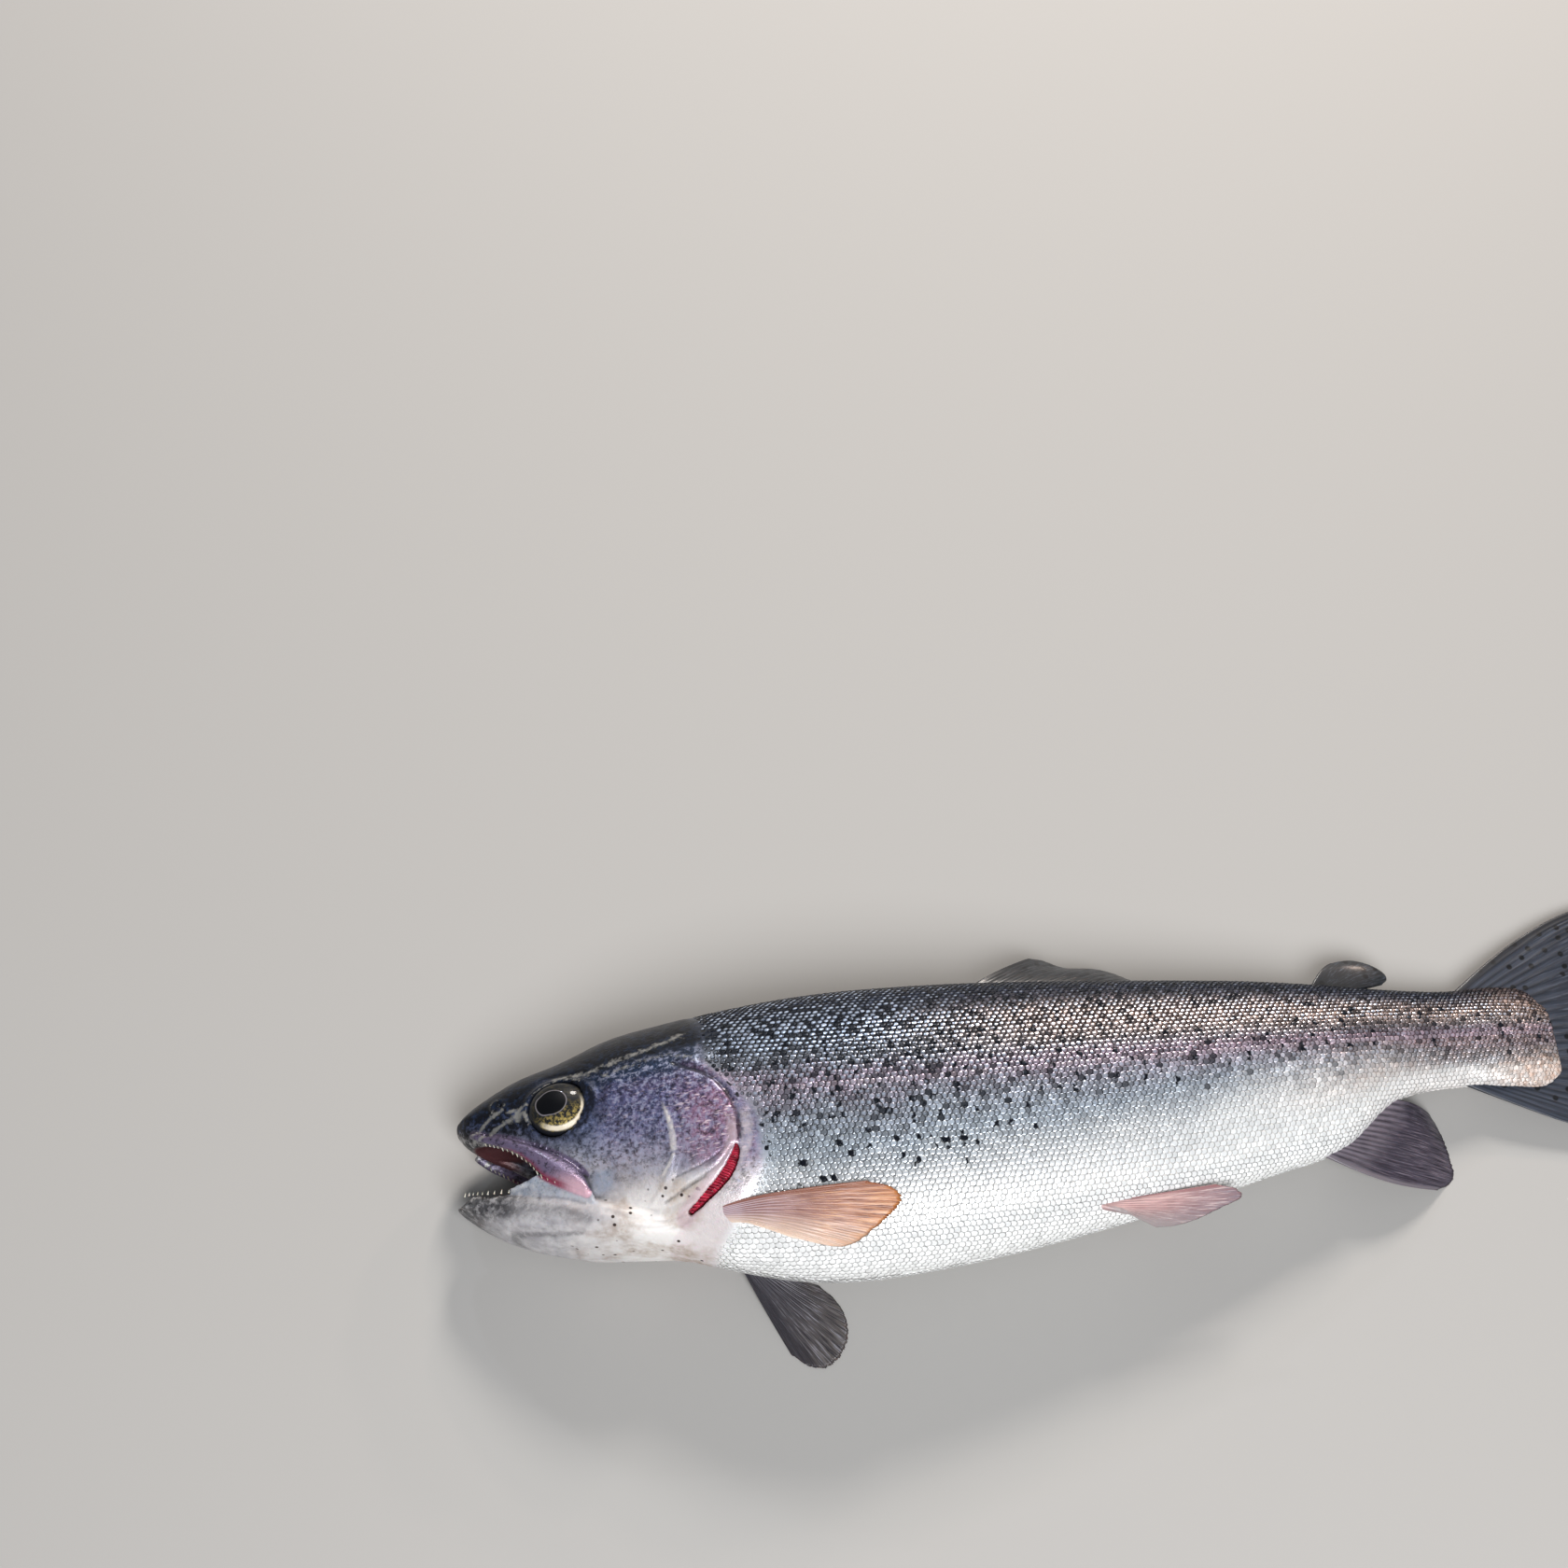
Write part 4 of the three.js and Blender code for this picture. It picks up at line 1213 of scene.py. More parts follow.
    def bone_half(self, u: Array, v: Array) -> Array:
        """Half an upper jaw bone's thickness: a leaf that thins towards both edges and its rear end."""
        return 0.5 * self.maxilla_thick * (0.6 + 0.4 * np.sin(np.pi * v)) * (1 - 0.3 * u**8)

    def maxilla_sheet(self, side: Side) -> Place:
        """The middle of an upper jaw bone: u from the snout to its rear end, v down it.

        Args:
            side: which bone.

        Returns:
            The sheet.
        """

        def sheet(u: Array, v: Array) -> Array:
            """The point at u and v."""
            station, rise = between(MAXILLA_UPPER, MAXILLA_LOWER, u, v)
            reach = self.bone_reach(u) - self.maxilla_bulge * (2 * v - 1) ** 2 - 0.9 * (1 - v) ** 2
            return place(station, rise, self.body.middle(station) + side.value * reach)

        return sheet

    def web_sheet(self, side: Side) -> Place:
        """The middle of the web of skin at a corner of the mouth: u back along it, v from the lower jaw up.

        Args:
            side: which corner.

        Returns:
            The sheet.
        """

        def sheet(u: Array, v: Array) -> Array:
            """The point at u and v."""
            station, rise = between(self.web_low, self.web_high, u, v)
            low, high = 9.4 + 5.6 * u, 12.4 + 3.4 * u
            reach = low + (high - low) * v - 0.8 * np.sin(np.pi * np.clip(v, 0, 1)) * (1 - u)
            return place(station, rise, self.body.middle(station) + side.value * reach)

        return sheet

    def plate(self, bm: BMesh, sheet: Place, half: Place | float, steps: tuple[int, int]) -> None:
        """Adds a closed plate round a sheet.

        Args:
            bm: the mesh to add to.
            sheet: its middle, at (u, v).
            half: half its thickness in mm, the same all over or at (u, v).
            steps: steps in u and steps round it.
        """

        def shape(u: Array, w: Array) -> Array:
            """The plate's outside: u along it, w round it."""
            v = 1 - np.abs(2 * w - 1)
            edge = np.sqrt(np.clip(1 - (2 * v - 1) ** 8, 0, 1))
            thick = half(u, v) if callable(half) else half
            apart = np.where(w < 0.5, 1, -1) * thick * edge * MM
            return sheet(u, v) + outward(sheet, u, v) * apart[..., None]

        rolled_grid(bm, *steps, shape)

    def head_block(self) -> Piece:
        """Melts the head's forms together and cuts its mouth, eye sockets, nostrils and gill slit.

        Returns:
            The head.
        """
        bm = bmesh.new()
        rolled_grid(bm, 90, 120, self.head_shape)
        rolled_grid(bm, 60, 64, self.jaw_shape)
        block = new_object("head_block", bm)
        remesh(block, self.voxel, 1)
        s, r, _ = fish_places(read_points(block)[0])
        seam = fade(s, 38, 46) * (1 - fade(s, 72, 78)) * fade(-r, 24, 29)
        ease(block, 0.6 * seam, 60)
        combine(block, self.hollows(), Meeting.CUT)
        bm = bmesh.new()
        bm.from_mesh(block.data)
        for side in Side:
            self.plate(bm, self.cover_sheet(side), self.cover_half, (40, 80))
            self.plate(bm, self.maxilla_sheet(side), self.bone_half, (60, 40))
            self.plate(bm, self.web_sheet(side), 0.5 * self.web_thick, (40, 24))
        bm.to_mesh(block.data)
        bm.free()
        remesh(block, self.voxel, 3)
        return block

    def hollows(self) -> Piece:
        """Makes what is cut out of the head.

        Returns:
            The form to cut with.
        """
        bm = bmesh.new()
        for at, level, radii in (MOUTH_ROOF, JAW_SCOOP):
            add_ellipsoid(bm, point(at, level, 0.0), radii)
        for side in Side:
            socket = (EYE_LONG + self.eye_gap, EYE_TALL + self.eye_gap, EYES.depth + 1.0)
            add_ellipsoid(bm, EYES.centre(side), socket, -side.value * EYES.turn)
            for station, rise, radius in self.nostrils:
                centre = point(station, rise, side.value * self.body.flank(station, rise))
                add_ellipsoid(bm, centre, (radius, radius * 0.8, 1.6))
        self.plate(bm, self.slit_sheet(), self.slit_half, (60, 30))
        hollows = new_object("hollows", bm)
        remesh(hollows, 0.3, 1)
        return hollows

    def slit_sheet(self, under: float = 2.6, depth: float = 2.6) -> Place:
        """The middle of the open gill slit: u down it, v from under the cover to the cleithrum.

        Args:
            under: mm that it goes under the cover.
            depth: mm that it lies under the skin.

        Returns:
            The sheet.
        """

        def sheet(u: Array, v: Array) -> Array:
            """The point at u and v."""
            s0, r0 = GILL_COVER_REAR(0.6 + 0.38 * u)
            s1, r1 = SLIT_REAR(u)
            full = np.clip(np.sin(np.pi * np.clip(u, 0, 1)), 0, 1) ** 0.5
            s0, r0 = s0 - under * full, r0 + 0.4 * under * full
            station, rise = s0 + (s1 - s0) * v, r0 + (r1 - r0) * v
            return place(station, rise, self.body.middle(station) + self.body.flank(station, rise) - depth)

        return sheet

    def crease(self, block: Piece) -> None:
        """Raises and sinks the head's ridges and folds by moving its skin along its normals.

        Args:
            block: the head, whose vertices move.
        """
        points, normals = read_points(block)
        s, r, out = fish_places(points)
        outside = (np.abs(out) > 0.6 * self.body.flank(s, r)) | (r < self.body.size(2, s) + 3)
        push = np.zeros(len(s))
        for path, high, wide in self.folds:
            push += high * np.exp(-((path.distance(s, r) / wide) ** 2))
        nose = np.hypot(s - NOSTRIL[0], r - NOSTRIL[1])
        push += 0.3 * np.exp(-(((nose - 2.0) / 0.5) ** 2))
        eye = EYE_LONG * np.hypot((s - EYE_STATION) / EYE_LONG, (r - EYE_RISE) / EYE_TALL)
        push += 0.4 * np.exp(-(((eye - 10.0) / 0.8) ** 2)) - 0.25 * np.exp(-(((eye - 12.2) / 0.9) ** 2))
        push *= outside * (points[:, 2] > 1.5 * MM) * (1 - fade(s, 78, 84))
        moved = points + normals * (push * MM)[:, None]
        moved[:, 2] = np.maximum(moved[:, 2], FLOOR_CLEAR * MM)
        write_points(block, moved)

    def trunk(self) -> Piece:
        """Makes the trunk.

        Returns:
            The trunk.
        """
        bm = bmesh.new()
        rolled_grid(bm, 130, 100, self.trunk_shape)
        return new_object("trunk_skin", bm)

    def build(self) -> Piece:
        """Builds, marks and dresses the whole skin.

        Returns:
            The skin.
        """
        skin = self.head_block()
        self.crease(skin)
        combine(skin, self.trunk(), Meeting.JOIN)
        skin.name = skin.data.name = "trout_skin"
        skin.data.polygons.foreach_set("use_smooth", [True] * len(skin.data.polygons))
        points, _ = read_points(skin)
        marks = MARKINGS.marks(points)
        marks |= self.bone_marks(points, marks)
        mark(skin, **marks)
        WetSkin().dress(skin)
        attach(skin, "root")
        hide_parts(*self.replaced)
        return skin

    def bone_marks(self, points: Array, marks: dict[str, Array]) -> dict[str, Array]:
        """Marks the upper jaw bones: purple slate, with a pink tip and a red lower lip.

        Args:
            points: the skin's points in metres.
            marks: the marks that they have so far.

        Returns:
            The marks that are new or changed.
        """
        bone, tip, lip, web = (np.zeros(len(points)) for _ in range(4))
        ahead = np.flatnonzero(points[:, 0] < (42 - ORIGIN_STATION) * MM)
        for side in Side:
            distance, u, v = Patch(self.maxilla_sheet(side)).near(points[ahead])
            close = 1 - fade(distance, 1.2, 1.7)
            bone[ahead] = np.maximum(bone[ahead], close)
            tip[ahead] = np.maximum(tip[ahead], close * fade(u, 0.7, 0.95) * fade(v, 0.25, 0.8))
            low = fade(v, 0.8, 0.97) * fade(u, 0.25, 0.5) * (1 - fade(u, 0.8, 0.92))
            lip[ahead] = np.maximum(lip[ahead], 0.85 * close * low)
            distance, _, v = Patch(self.web_sheet(side)).near(points[ahead])
            web[ahead] = np.maximum(web[ahead], (1 - fade(distance, 0.7, 1.5)) * (0.35 + 0.5 * v))
        s, r, _ = fish_places(points)
        margin = GILL_COVER_REAR.line(s, r, 1.6, 3.4) * fade(-r, 15, 21) * (s < 78.6) * marks["bare"]
        # painted shade along the groove over the upper jaw bone
        groove = MAXILLA_UPPER.line(s, r, 0.3, 0.9) * (bone < 0.9)
        dark = np.maximum(marks["dark"] * (1 - 0.75 * bone), 0.6 * groove * marks["bare"])
        patch = np.exp(-(((s - 40.5) / 3.4) ** 4) - ((r + 27.2) / 2.9) ** 4)
        return {
            "bone": bone, "tip": tip, "lip": lip, "web": np.maximum(web, 0.75 * patch) * (1 - bone),
            "margin": 0.65 * margin * (1 - marks["slit"]), "dark": dark, "pale": marks["pale"] * (1 - bone),
            "spotty": marks["spotty"] * (1 - bone),
        }


SKIN = Skin()


# --- the eyes ---


@dataclass(frozen=True)
class EyeFinish:
    """A wet eye: black pupil, dark iris flecked with gold, pale ring and dark rim under clear cornea."""

    pupil: str = "#07080c"
    iris: str = "#1b1d20"
    gold: str = "#b5a05a"
    ring: str = "#e6dac2"
    thread: str = "#8b868c"
    rim: str = "#15171c"

    def dress(self, *pieces: Piece) -> None:
        """Puts the finish on pieces.

        Args:
            *pieces: what wears it.
        """
        p = Painter("cornea over iris")
        low, away, bright, pupil = (
            p.add(Node.MARK, attribute_name=name).outputs["Fac"]
            for name in ("low", "radius", "bright", "pupil")
        )
        where = p.add(Node.PLACE).outputs["Object"]
        fleck = p.add(Node.NOISE, {"Vector": where, "Scale": 900.0, "Detail": 4.0, "Roughness": 0.7})
        gold = p.add(Node.MULTIPLY_HELD, (p.add(Node.SUBTRACT, (fleck, 0.46)), 7.0))
        radius = p.add(Node.MULTIPLY_ADD, (p.add(Node.SUBTRACT, (fleck, 0.5)), 0.05, away))
        ring, rim, thread, black = (
            p.add(Node.RAMP, (source,), stops=stops)
            for source, stops in (
                (radius, ((0.72, 0.0), (0.77, 1.0), (0.87, 0.9), (0.92, 0.0))),
                (radius, ((0.88, 0.0), (0.94, 1.0))),
                (pupil, ((0.45, 0.0), (0.475, 0.8), (0.5, 0.0))),
                (pupil, ((0.44, 1.0), (0.465, 0.0))),
            )
        )
        colour = self.iris
        for shade, share in (
            (self.gold, p.add(Node.MULTIPLY, (gold, p.add(Node.MULTIPLY_ADD, (low, 0.85, 0.06))))),
            (self.ring, p.add(Node.MULTIPLY, (ring, bright))),
            (self.thread, thread),
            (self.pupil, black),
            (self.rim, rim),
        ):
            colour = p.add(Node.LAYER, (share, colour, shade))
        surface = p.add(Node.SURFACE, {
            "Base Color": colour, "Roughness": 0.45, "Specular IOR Level": 0.1, "Coat Weight": 0.4,
            "Coat Roughness": 0.03, "Coat IOR": 1.33,
        })
        p.dress(surface, *pieces)


@dataclass(frozen=True)
class Eyes:
    """Both eyes: lenses set into the cheeks, without lids."""

    depth: float = 3.8
    proud: float = 1.9
    turn: float = 0.14
    pupil_shift: Pair = (-0.17, 0.13)  # of the pupil, ahead and up, in eye radii

    def centre(self, side: Side) -> Vector:
        """The middle of an eye in metres."""
        reach = self.proud - self.depth + BODY.flank(EYE_STATION, EYE_RISE)
        return point(EYE_STATION, EYE_RISE, side.value * reach)

    def build(self) -> list[Piece]:
        """Builds both eyes."""
        return [self.eye(side) for side in Side]

    def eye(self, side: Side) -> Piece:
        """Builds one eye.

        Args:
            side: which eye.

        Returns:
            The eye.
        """
        bm = bmesh.new()
        bmesh.ops.create_uvsphere(bm, u_segments=96, v_segments=64, radius=1.0)
        unit = np.array([v.co for v in bm.verts])
        bow = 1 + 0.09 * np.exp(-((np.hypot(unit[:, 0], unit[:, 1]) / 0.5) ** 2))
        turn = Matrix.Rotation(-side.value * self.turn, 3, "Y")
        size = Vector((EYE_LONG, EYE_TALL, self.depth)) * MM
        middle = self.centre(side)
        for vert, swell in zip(bm.verts, bow):
            x, y, z = vert.co
            vert.co = middle + turn @ Vector((x * size.x, y * size.y, z * size.z * swell))
        eye = new_object(f"eyeball_{side.name.lower()}", bm)
        away = np.hypot(unit[:, 0], unit[:, 1])
        dx, dy = unit[:, 0] - self.pupil_shift[0], unit[:, 1] - self.pupil_shift[1]
        pupil = np.hypot(dx, dy) * (1 - 0.14 * fade(-0.95 * dx - 0.3 * dy, 0.2, 0.5))  # pointed ahead
        low = fade(0.3 * unit[:, 0] - unit[:, 1], 0.0, 0.75)
        bright = fade(0.6 * unit[:, 0] - 0.95 * unit[:, 1], 0.05, 0.65)
        mark(eye, radius=np.where(unit[:, 2] * side.value > 0, away, 1.0), pupil=pupil, low=low,
             bright=bright)
        EyeFinish().dress(eye)
        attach(eye, "root")
        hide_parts(f"eye_{side.name.lower()}")
        return eye


EYES = Eyes()


# --- the fins ---


@dataclass(frozen=True)
class FinFinish:
    """Fin: a thin wet membrane on soft rays, tinted by the pigment along the rays."""

    name: str
    root: str
    middle: str
    tip: str
    ray: str
    leading: str
    leading_share: float = 0.1
    spots: float = 0.0
    trailing: str = ""
    glaze: float = 0.4
    pale: str = "#8a8890"
    streaks: float = 60.0
    spot: str = "#101216"

    def dress(self, *pieces: Piece) -> None:
        """Puts the finish on pieces.

        Args:
            *pieces: what wears it.
        """
        p = Painter(self.name)
        spread, ray, across = (
            p.add(Node.MARK, attribute_name=name).outputs["Fac"] for name in ("out", "ray", "across")
        )
        where = p.add(Node.PLACE).outputs["Object"]
        cloud = p.add(Node.NOISE, {"Vector": where, "Scale": 160.0, "Detail": 4.0, "Roughness": 0.6})
        out = p.add(Node.ADD_HELD, (spread, p.add(Node.MULTIPLY_ADD, (cloud, 0.3, -0.15))))
        fan = p.add(Node.JOIN,
                    (p.add(Node.MULTIPLY, (across, self.streaks)), p.add(Node.MULTIPLY, (spread, 5.0))))
        streak = p.add(Node.NOISE, {"Vector": fan, "Scale": 1.0, "Detail": 3.0, "Roughness": 0.65})
        layers = [(self.ray, p.add(Node.MULTIPLY, (ray, p.add(Node.MULTIPLY_ADD, (cloud, 0.8, 0.35)))))]
        for shade, low, high in ((self.ray, 0.5, 0.36), (self.pale, 0.54, 0.7)):
            share = p.add(Node.MULTIPLY_HELD, (p.add(Node.SUBTRACT, (streak, low)), 1 / (high - low)))
            layers.append((shade, p.add(Node.MULTIPLY, (share, p.add(Node.MULTIPLY_HELD, (out, 1.4))))))
        front = p.add(Node.RAMP, (across,), stops=(
            (0.0, 1.0), (self.leading_share * 0.55, 0.9), (self.leading_share, 0.0)))
        layers.append((self.leading, p.add(Node.MULTIPLY, (front, 0.85))))
        if self.trailing:
            layers.append((self.trailing, p.add(Node.RAMP, (across,), stops=((0.5, 0.0), (0.95, 0.9)))))
        if self.spots:
            cells = p.add(Node.FLAT_CELLS, {"Vector": where, "Scale": 230.0})
            chance = p.add(Node.CHANNELS, (cells.outputs["Color"],))
            near = p.add(Node.MULTIPLY_HELD, (p.add(Node.SUBTRACT, (0.24, cells.outputs["Distance"])), 12.0))
            there = p.add(Node.LESS, (chance.outputs[0], self.spots))
            layers.append((self.spot, p.add(Node.MULTIPLY, (near, there))))
        colour = p.add(Node.RAMP, (out,), stops=(
            (0.0, self.root), (0.14, self.root), (0.5, self.middle), (1.0, self.tip)))
        for shade, share in layers:
            colour = p.add(Node.LAYER, (share, colour, shade))
        surface = p.add(Node.SURFACE, {
            "Base Color": colour, "Roughness": p.add(Node.MULTIPLY_ADD, (cloud, 0.3, 0.3)),
            "Coat Weight": self.glaze, "Coat Roughness": 0.15, "IOR": 1.38, "Subsurface Weight": 0.06,
            "Subsurface Scale": 0.001,
        })
        p.dress(surface, *pieces)


Height = Callable[[Array, Array, Array, Array], Array]


def in_middle(droop: float) -> Height:
    """A fin in the fish's middle plane whose edge sinks by droop."""
    return lambda s, r, u, v: BODY.middle(np.minimum(s, SNOUT_TO_TAIL_ROOT)) - droop * u * u


def on_flank(clear: float) -> Height:
    """A fin that lies just off the left flank.

    Args:
        clear: mm between the fin and the flank.

    Returns:
        The height in mm, by station, rise, u and v.
    """

    def height(s: Array, r: Array, u: Array, v: Array) -> Array:
        """The height over the floor."""
        reach = BODY.flank(s, np.maximum(r, BODY.size(2, s) + 2.5))
        return BODY.middle(s) + reach - 2 + (2 + clear) * fade(u, -0.2, 0.3) + 0.8 * u

    return height


def freely(root: float, front: float, last: float) -> Height:
    """A fin that hangs free, from one height at the root to two along the edge."""
    return lambda s, r, u, v: root + (front + (last - front) * v - root) * u


def to_floor(root: float, level: float = 0.45) -> Height:
    """A fin that comes out of the right flank and lies on the floor."""
    return lambda s, r, u, v: level + (root - level) * (1 - np.clip(u, 0, 1)) ** 2.4


@dataclass
class Fin:
    """A fan of soft rays that fork towards the edge, with a thin membrane between them."""

    name: str
    base: Sequence[Pair]
    edge: Sequence[Pair]
    height: Height
    finish: FinFinish
    rays: int = 14
    bow: Pair = (0.0, 0.0)
    thick: Pair = (1.5, 0.45)
    ragged: float = 0.012
    rounded: float = 0.09
    inwards: float = 0.08
    ribbed: float = 0.4
    slot: str = "dark_fin"

    def sheet(self, u: Array, v: Array) -> Array:
        """The fin's middle, u out from its base and v across it.

        Args:
            u: shares from the base out.
            v: shares across.

        Returns:
            The points in metres.
        """
        station, rise = between(Path(self.base), Path(self.edge), v, u)
        bend = self.bow[0] * np.clip(1 - 2 * v, 0, 1) ** 2 + self.bow[1] * np.clip(2 * v - 1, 0, 1) ** 2
        rise = rise + bend * np.sin(np.pi * np.clip(u, 0, 1))
        return place(station, rise, self.height(station, rise, u, v))

    def ridge(self, u: Array, v: Array) -> Array:
        """How much of a ray is at a place: 1 on its crest, 0 on the membrane; each ray forks twice.

        Args:
            u: shares from the base out.
            v: shares across.

        Returns:
            The shares.
        """
        high = bundle = np.abs(np.cos(np.pi * self.rays * v))
        for forks, low, full in ((2, 0.3, 0.5), (4, 0.62, 0.82)):
            fork = fade(u, low, full)
            fine = np.abs(np.sin(forks * np.pi * self.rays * v))
            high = high * (1 - fork) + (0.5 * bundle + 0.5 * fine) * fork
        return high**2.5

    def shape(self, u: Array, w: Array) -> Array:
        """The fin's outside: u across it, w round from base to edge and back.

        Args:
            u: shares across.
            w: shares of the way round.

        Returns:
            The points in metres.
        """
        v, top = u, w < 0.5
        share = 1 - np.abs(2 * w - 1)
        rng = np.random.default_rng(len(self.name) * 7 + self.rays)
        knots = np.linspace(0, 1, 4 * self.rays + 1)
        notch = self.ragged * (np.interp(v, knots, rng.random(len(knots)))
                               + 0.8 * (1 - self.ridge(v * 0 + 1, v)))
        notch = notch + self.rounded * (np.exp(-((v / 0.06) ** 2)) + np.exp(-(((1 - v) / 0.06) ** 2)))
        out = -self.inwards + share * (1 + self.inwards - notch)
        normal = outward(self.sheet, out, v)
        grown = np.clip(out, 0, 1) ** 0.6
        half = (self.thick[0] + (self.thick[1] - self.thick[0]) * grown) / 2
        half *= 1 - self.ribbed * fade(out, 0.0, 0.3) * (1 - self.ridge(out, v))
        half *= np.sqrt(np.clip(1 - share**14, 0, 1)) * np.sqrt(np.clip(1 - (2 * v - 1) ** 30, 0, 1))
        moved = self.sheet(out, v) + normal * (np.where(top, 1, -1) * half * MM)[..., None]
        moved[..., 2] = np.maximum(moved[..., 2], FLOOR_CLEAR * MM)
        return moved

    def build(self) -> Piece:
        """Builds, marks and dresses the fin.

        Returns:
            The fin.
        """
        bm = bmesh.new()
        across = bm.verts.layers.float.new("across")
        out = bm.verts.layers.float.new("out")
        ray = bm.verts.layers.float.new("ray")
        bmesh.ops.create_grid(bm, x_segments=self.rays * 22, y_segments=80, size=0.5)
        flat = np.array([v.co[:2] for v in bm.verts]) + 0.5
        share = 1 - np.abs(2 * flat[:, 1] - 1)
        ridges = self.ridge(share, flat[:, 0])
        places = self.shape(flat[:, 0], flat[:, 1])
        for vert, moved, v, u, high in zip(bm.verts, places, flat[:, 0], share, ridges):
            vert.co = moved
            vert[across], vert[out], vert[ray] = v, u, high
        bmesh.ops.remove_doubles(bm, verts=bm.verts, dist=MERGED)
        bmesh.ops.holes_fill(bm, edges=[e for e in bm.edges if len(e.link_faces) == 1], sides=0)
        bmesh.ops.recalc_face_normals(bm, faces=bm.faces)
        fin = new_object(f"{self.name}_rays", bm)
        self.finish.dress(fin)
        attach(fin, "root")
        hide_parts(self.name)
        return fin


CAUDAL = FinFinish("caudal fin membrane", "#3c414c", "#353a45", "#2a2e37", "#191c23", "#121419", 0.05, 0.5,
                   glaze=0.1, pale="#5d6370", streaks=110.0)
DORSAL = FinFinish("dorsal fin membrane", "#1f2225", "#24272c", "#383b3e", "#101317", "#16181c", 0.08, 0.5,
                   glaze=0.15, pale="#4b4e53")
ADIPOSE = FinFinish("adipose fin flesh", "#1c2024", "#24272c", "#34383c", "#181b1f", "#181a1d", 0.05, 0.35,
                    glaze=0.15, pale="#4c525c", streaks=30.0)
ANAL = FinFinish("anal fin membrane", "#857b84", "#453f4b", "#57505b", "#201c25", "#736c72", 0.05,
                 glaze=0.2, pale="#776e78", streaks=70.0)
PECTORAL = FinFinish("pectoral fin membrane", "#cbb7c0", "#b58f88", "#cb8347", "#6d3a26", "#7a4229", 0.13,
                     trailing="#ecd4bf", pale="#dda878")
PECTORAL_LOW = FinFinish("lower pectoral fin membrane", "#45414a", "#413d42", "#655f5a", "#25222a",
                         "#27242b", 0.25)
PELVIC = FinFinish("pelvic fin membrane", "#dfb8b3", "#c8a39f", "#77707a", "#8a6a6c", "#8d5f60", 0.08,
                   trailing="#9a908f", pale="#e0c8c4", streaks=40.0)


@dataclass
class Fins:
    """All eight fins."""

    def build(self) -> list[Piece]:
        """Builds them from the back to the belly.

        Returns:
            The fins.
        """
        fins = (
            Fin("dorsal_fin", ((150.5, 27.6), (173, 26.8), (196, 25.4)),
                ((172.6, 40.8), (180.5, 36.6), (190.6, 35.4), (198, 32.2), (204, 28.4)),
                in_middle(9), DORSAL, 12, inwards=0.25),
            Fin("adipose_fin", ((251, 21.8), (257, 21.2), (262, 20.2)),
                ((260.4, 31.0), (266, 31.2), (271.4, 29.4), (275.0, 26.4), (275.4, 23.2)),
                in_middle(2), ADIPOSE, 6, bow=(1.4, -0.5), ragged=0.0, rounded=0.14, inwards=0.15,
                ribbed=0.0),
            Fin("anal_fin", ((244.2, -31.0), (257, -25.6), (270, -15.0)),
                ((280.6, -40.0), (284.4, -36.2), (284.6, -30.6), (283.8, -24.0), (281.8, -16.4)),
                in_middle(9.5), ANAL, 14, bow=(-3.6, 0), rounded=0.05, inwards=0.2),
            Fin("tail_fin", ((293.5, 18.2), (308, 15), (314, 2.5), (308, -10.6), (290, -10.8)),
                ((367, 48.0), (370, 43.6), (361, 29), (350, 12.5), (346.6, 4), (349.6, -6), (358, -19.5),
                 (365, -32.6), (361, -37.4)),
                in_middle(4.6), CAUDAL, 24, bow=(8.5, -3.0), rounded=0.03, ribbed=0.2),
            Fin("pectoral_fin_left", ((73.6, -39.8), (74.2, -41.9), (76.0, -44.2)),
                ((117.0, -39.2), (122.2, -44.0), (116.6, -49.4), (106, -54.2), (93, -51.6)),
                on_flank(1.1), PECTORAL, 13, slot="warm_fin"),
            Fin("pectoral_fin_right", ((74.6, -39.5), (76.4, -41.6), (79.0, -43.6)),
                ((90.6, -74.3), (99.0, -75.4), (104.8, -69.4), (105.4, -61.0), (101.0, -52.0)),
                to_floor(7), PECTORAL_LOW, 13, thick=(1.5, 0.5)),
            Fin("pelvic_fin_left", ((178.4, -44.6), (180.4, -46.4), (183.6, -48.0)),
                ((214.4, -41.2), (218.0, -45.2), (211, -48.0), (203, -50.4), (194, -51.4)),
                freely(27.6, 25.2, 20.4), PELVIC, 10, slot="warm_fin"),
            Fin("pelvic_fin_right", ((178.4, -37.8), (180.8, -39.4), (184.0, -40.6)),
                ((213.0, -28.4), (217.4, -30.6), (213, -33.8), (205, -36.6), (196, -39.0)),
                to_floor(7), PELVIC, 10, thick=(1.5, 0.5)),
        )
        return [fin.build() for fin in fins]


# --- the scales ---


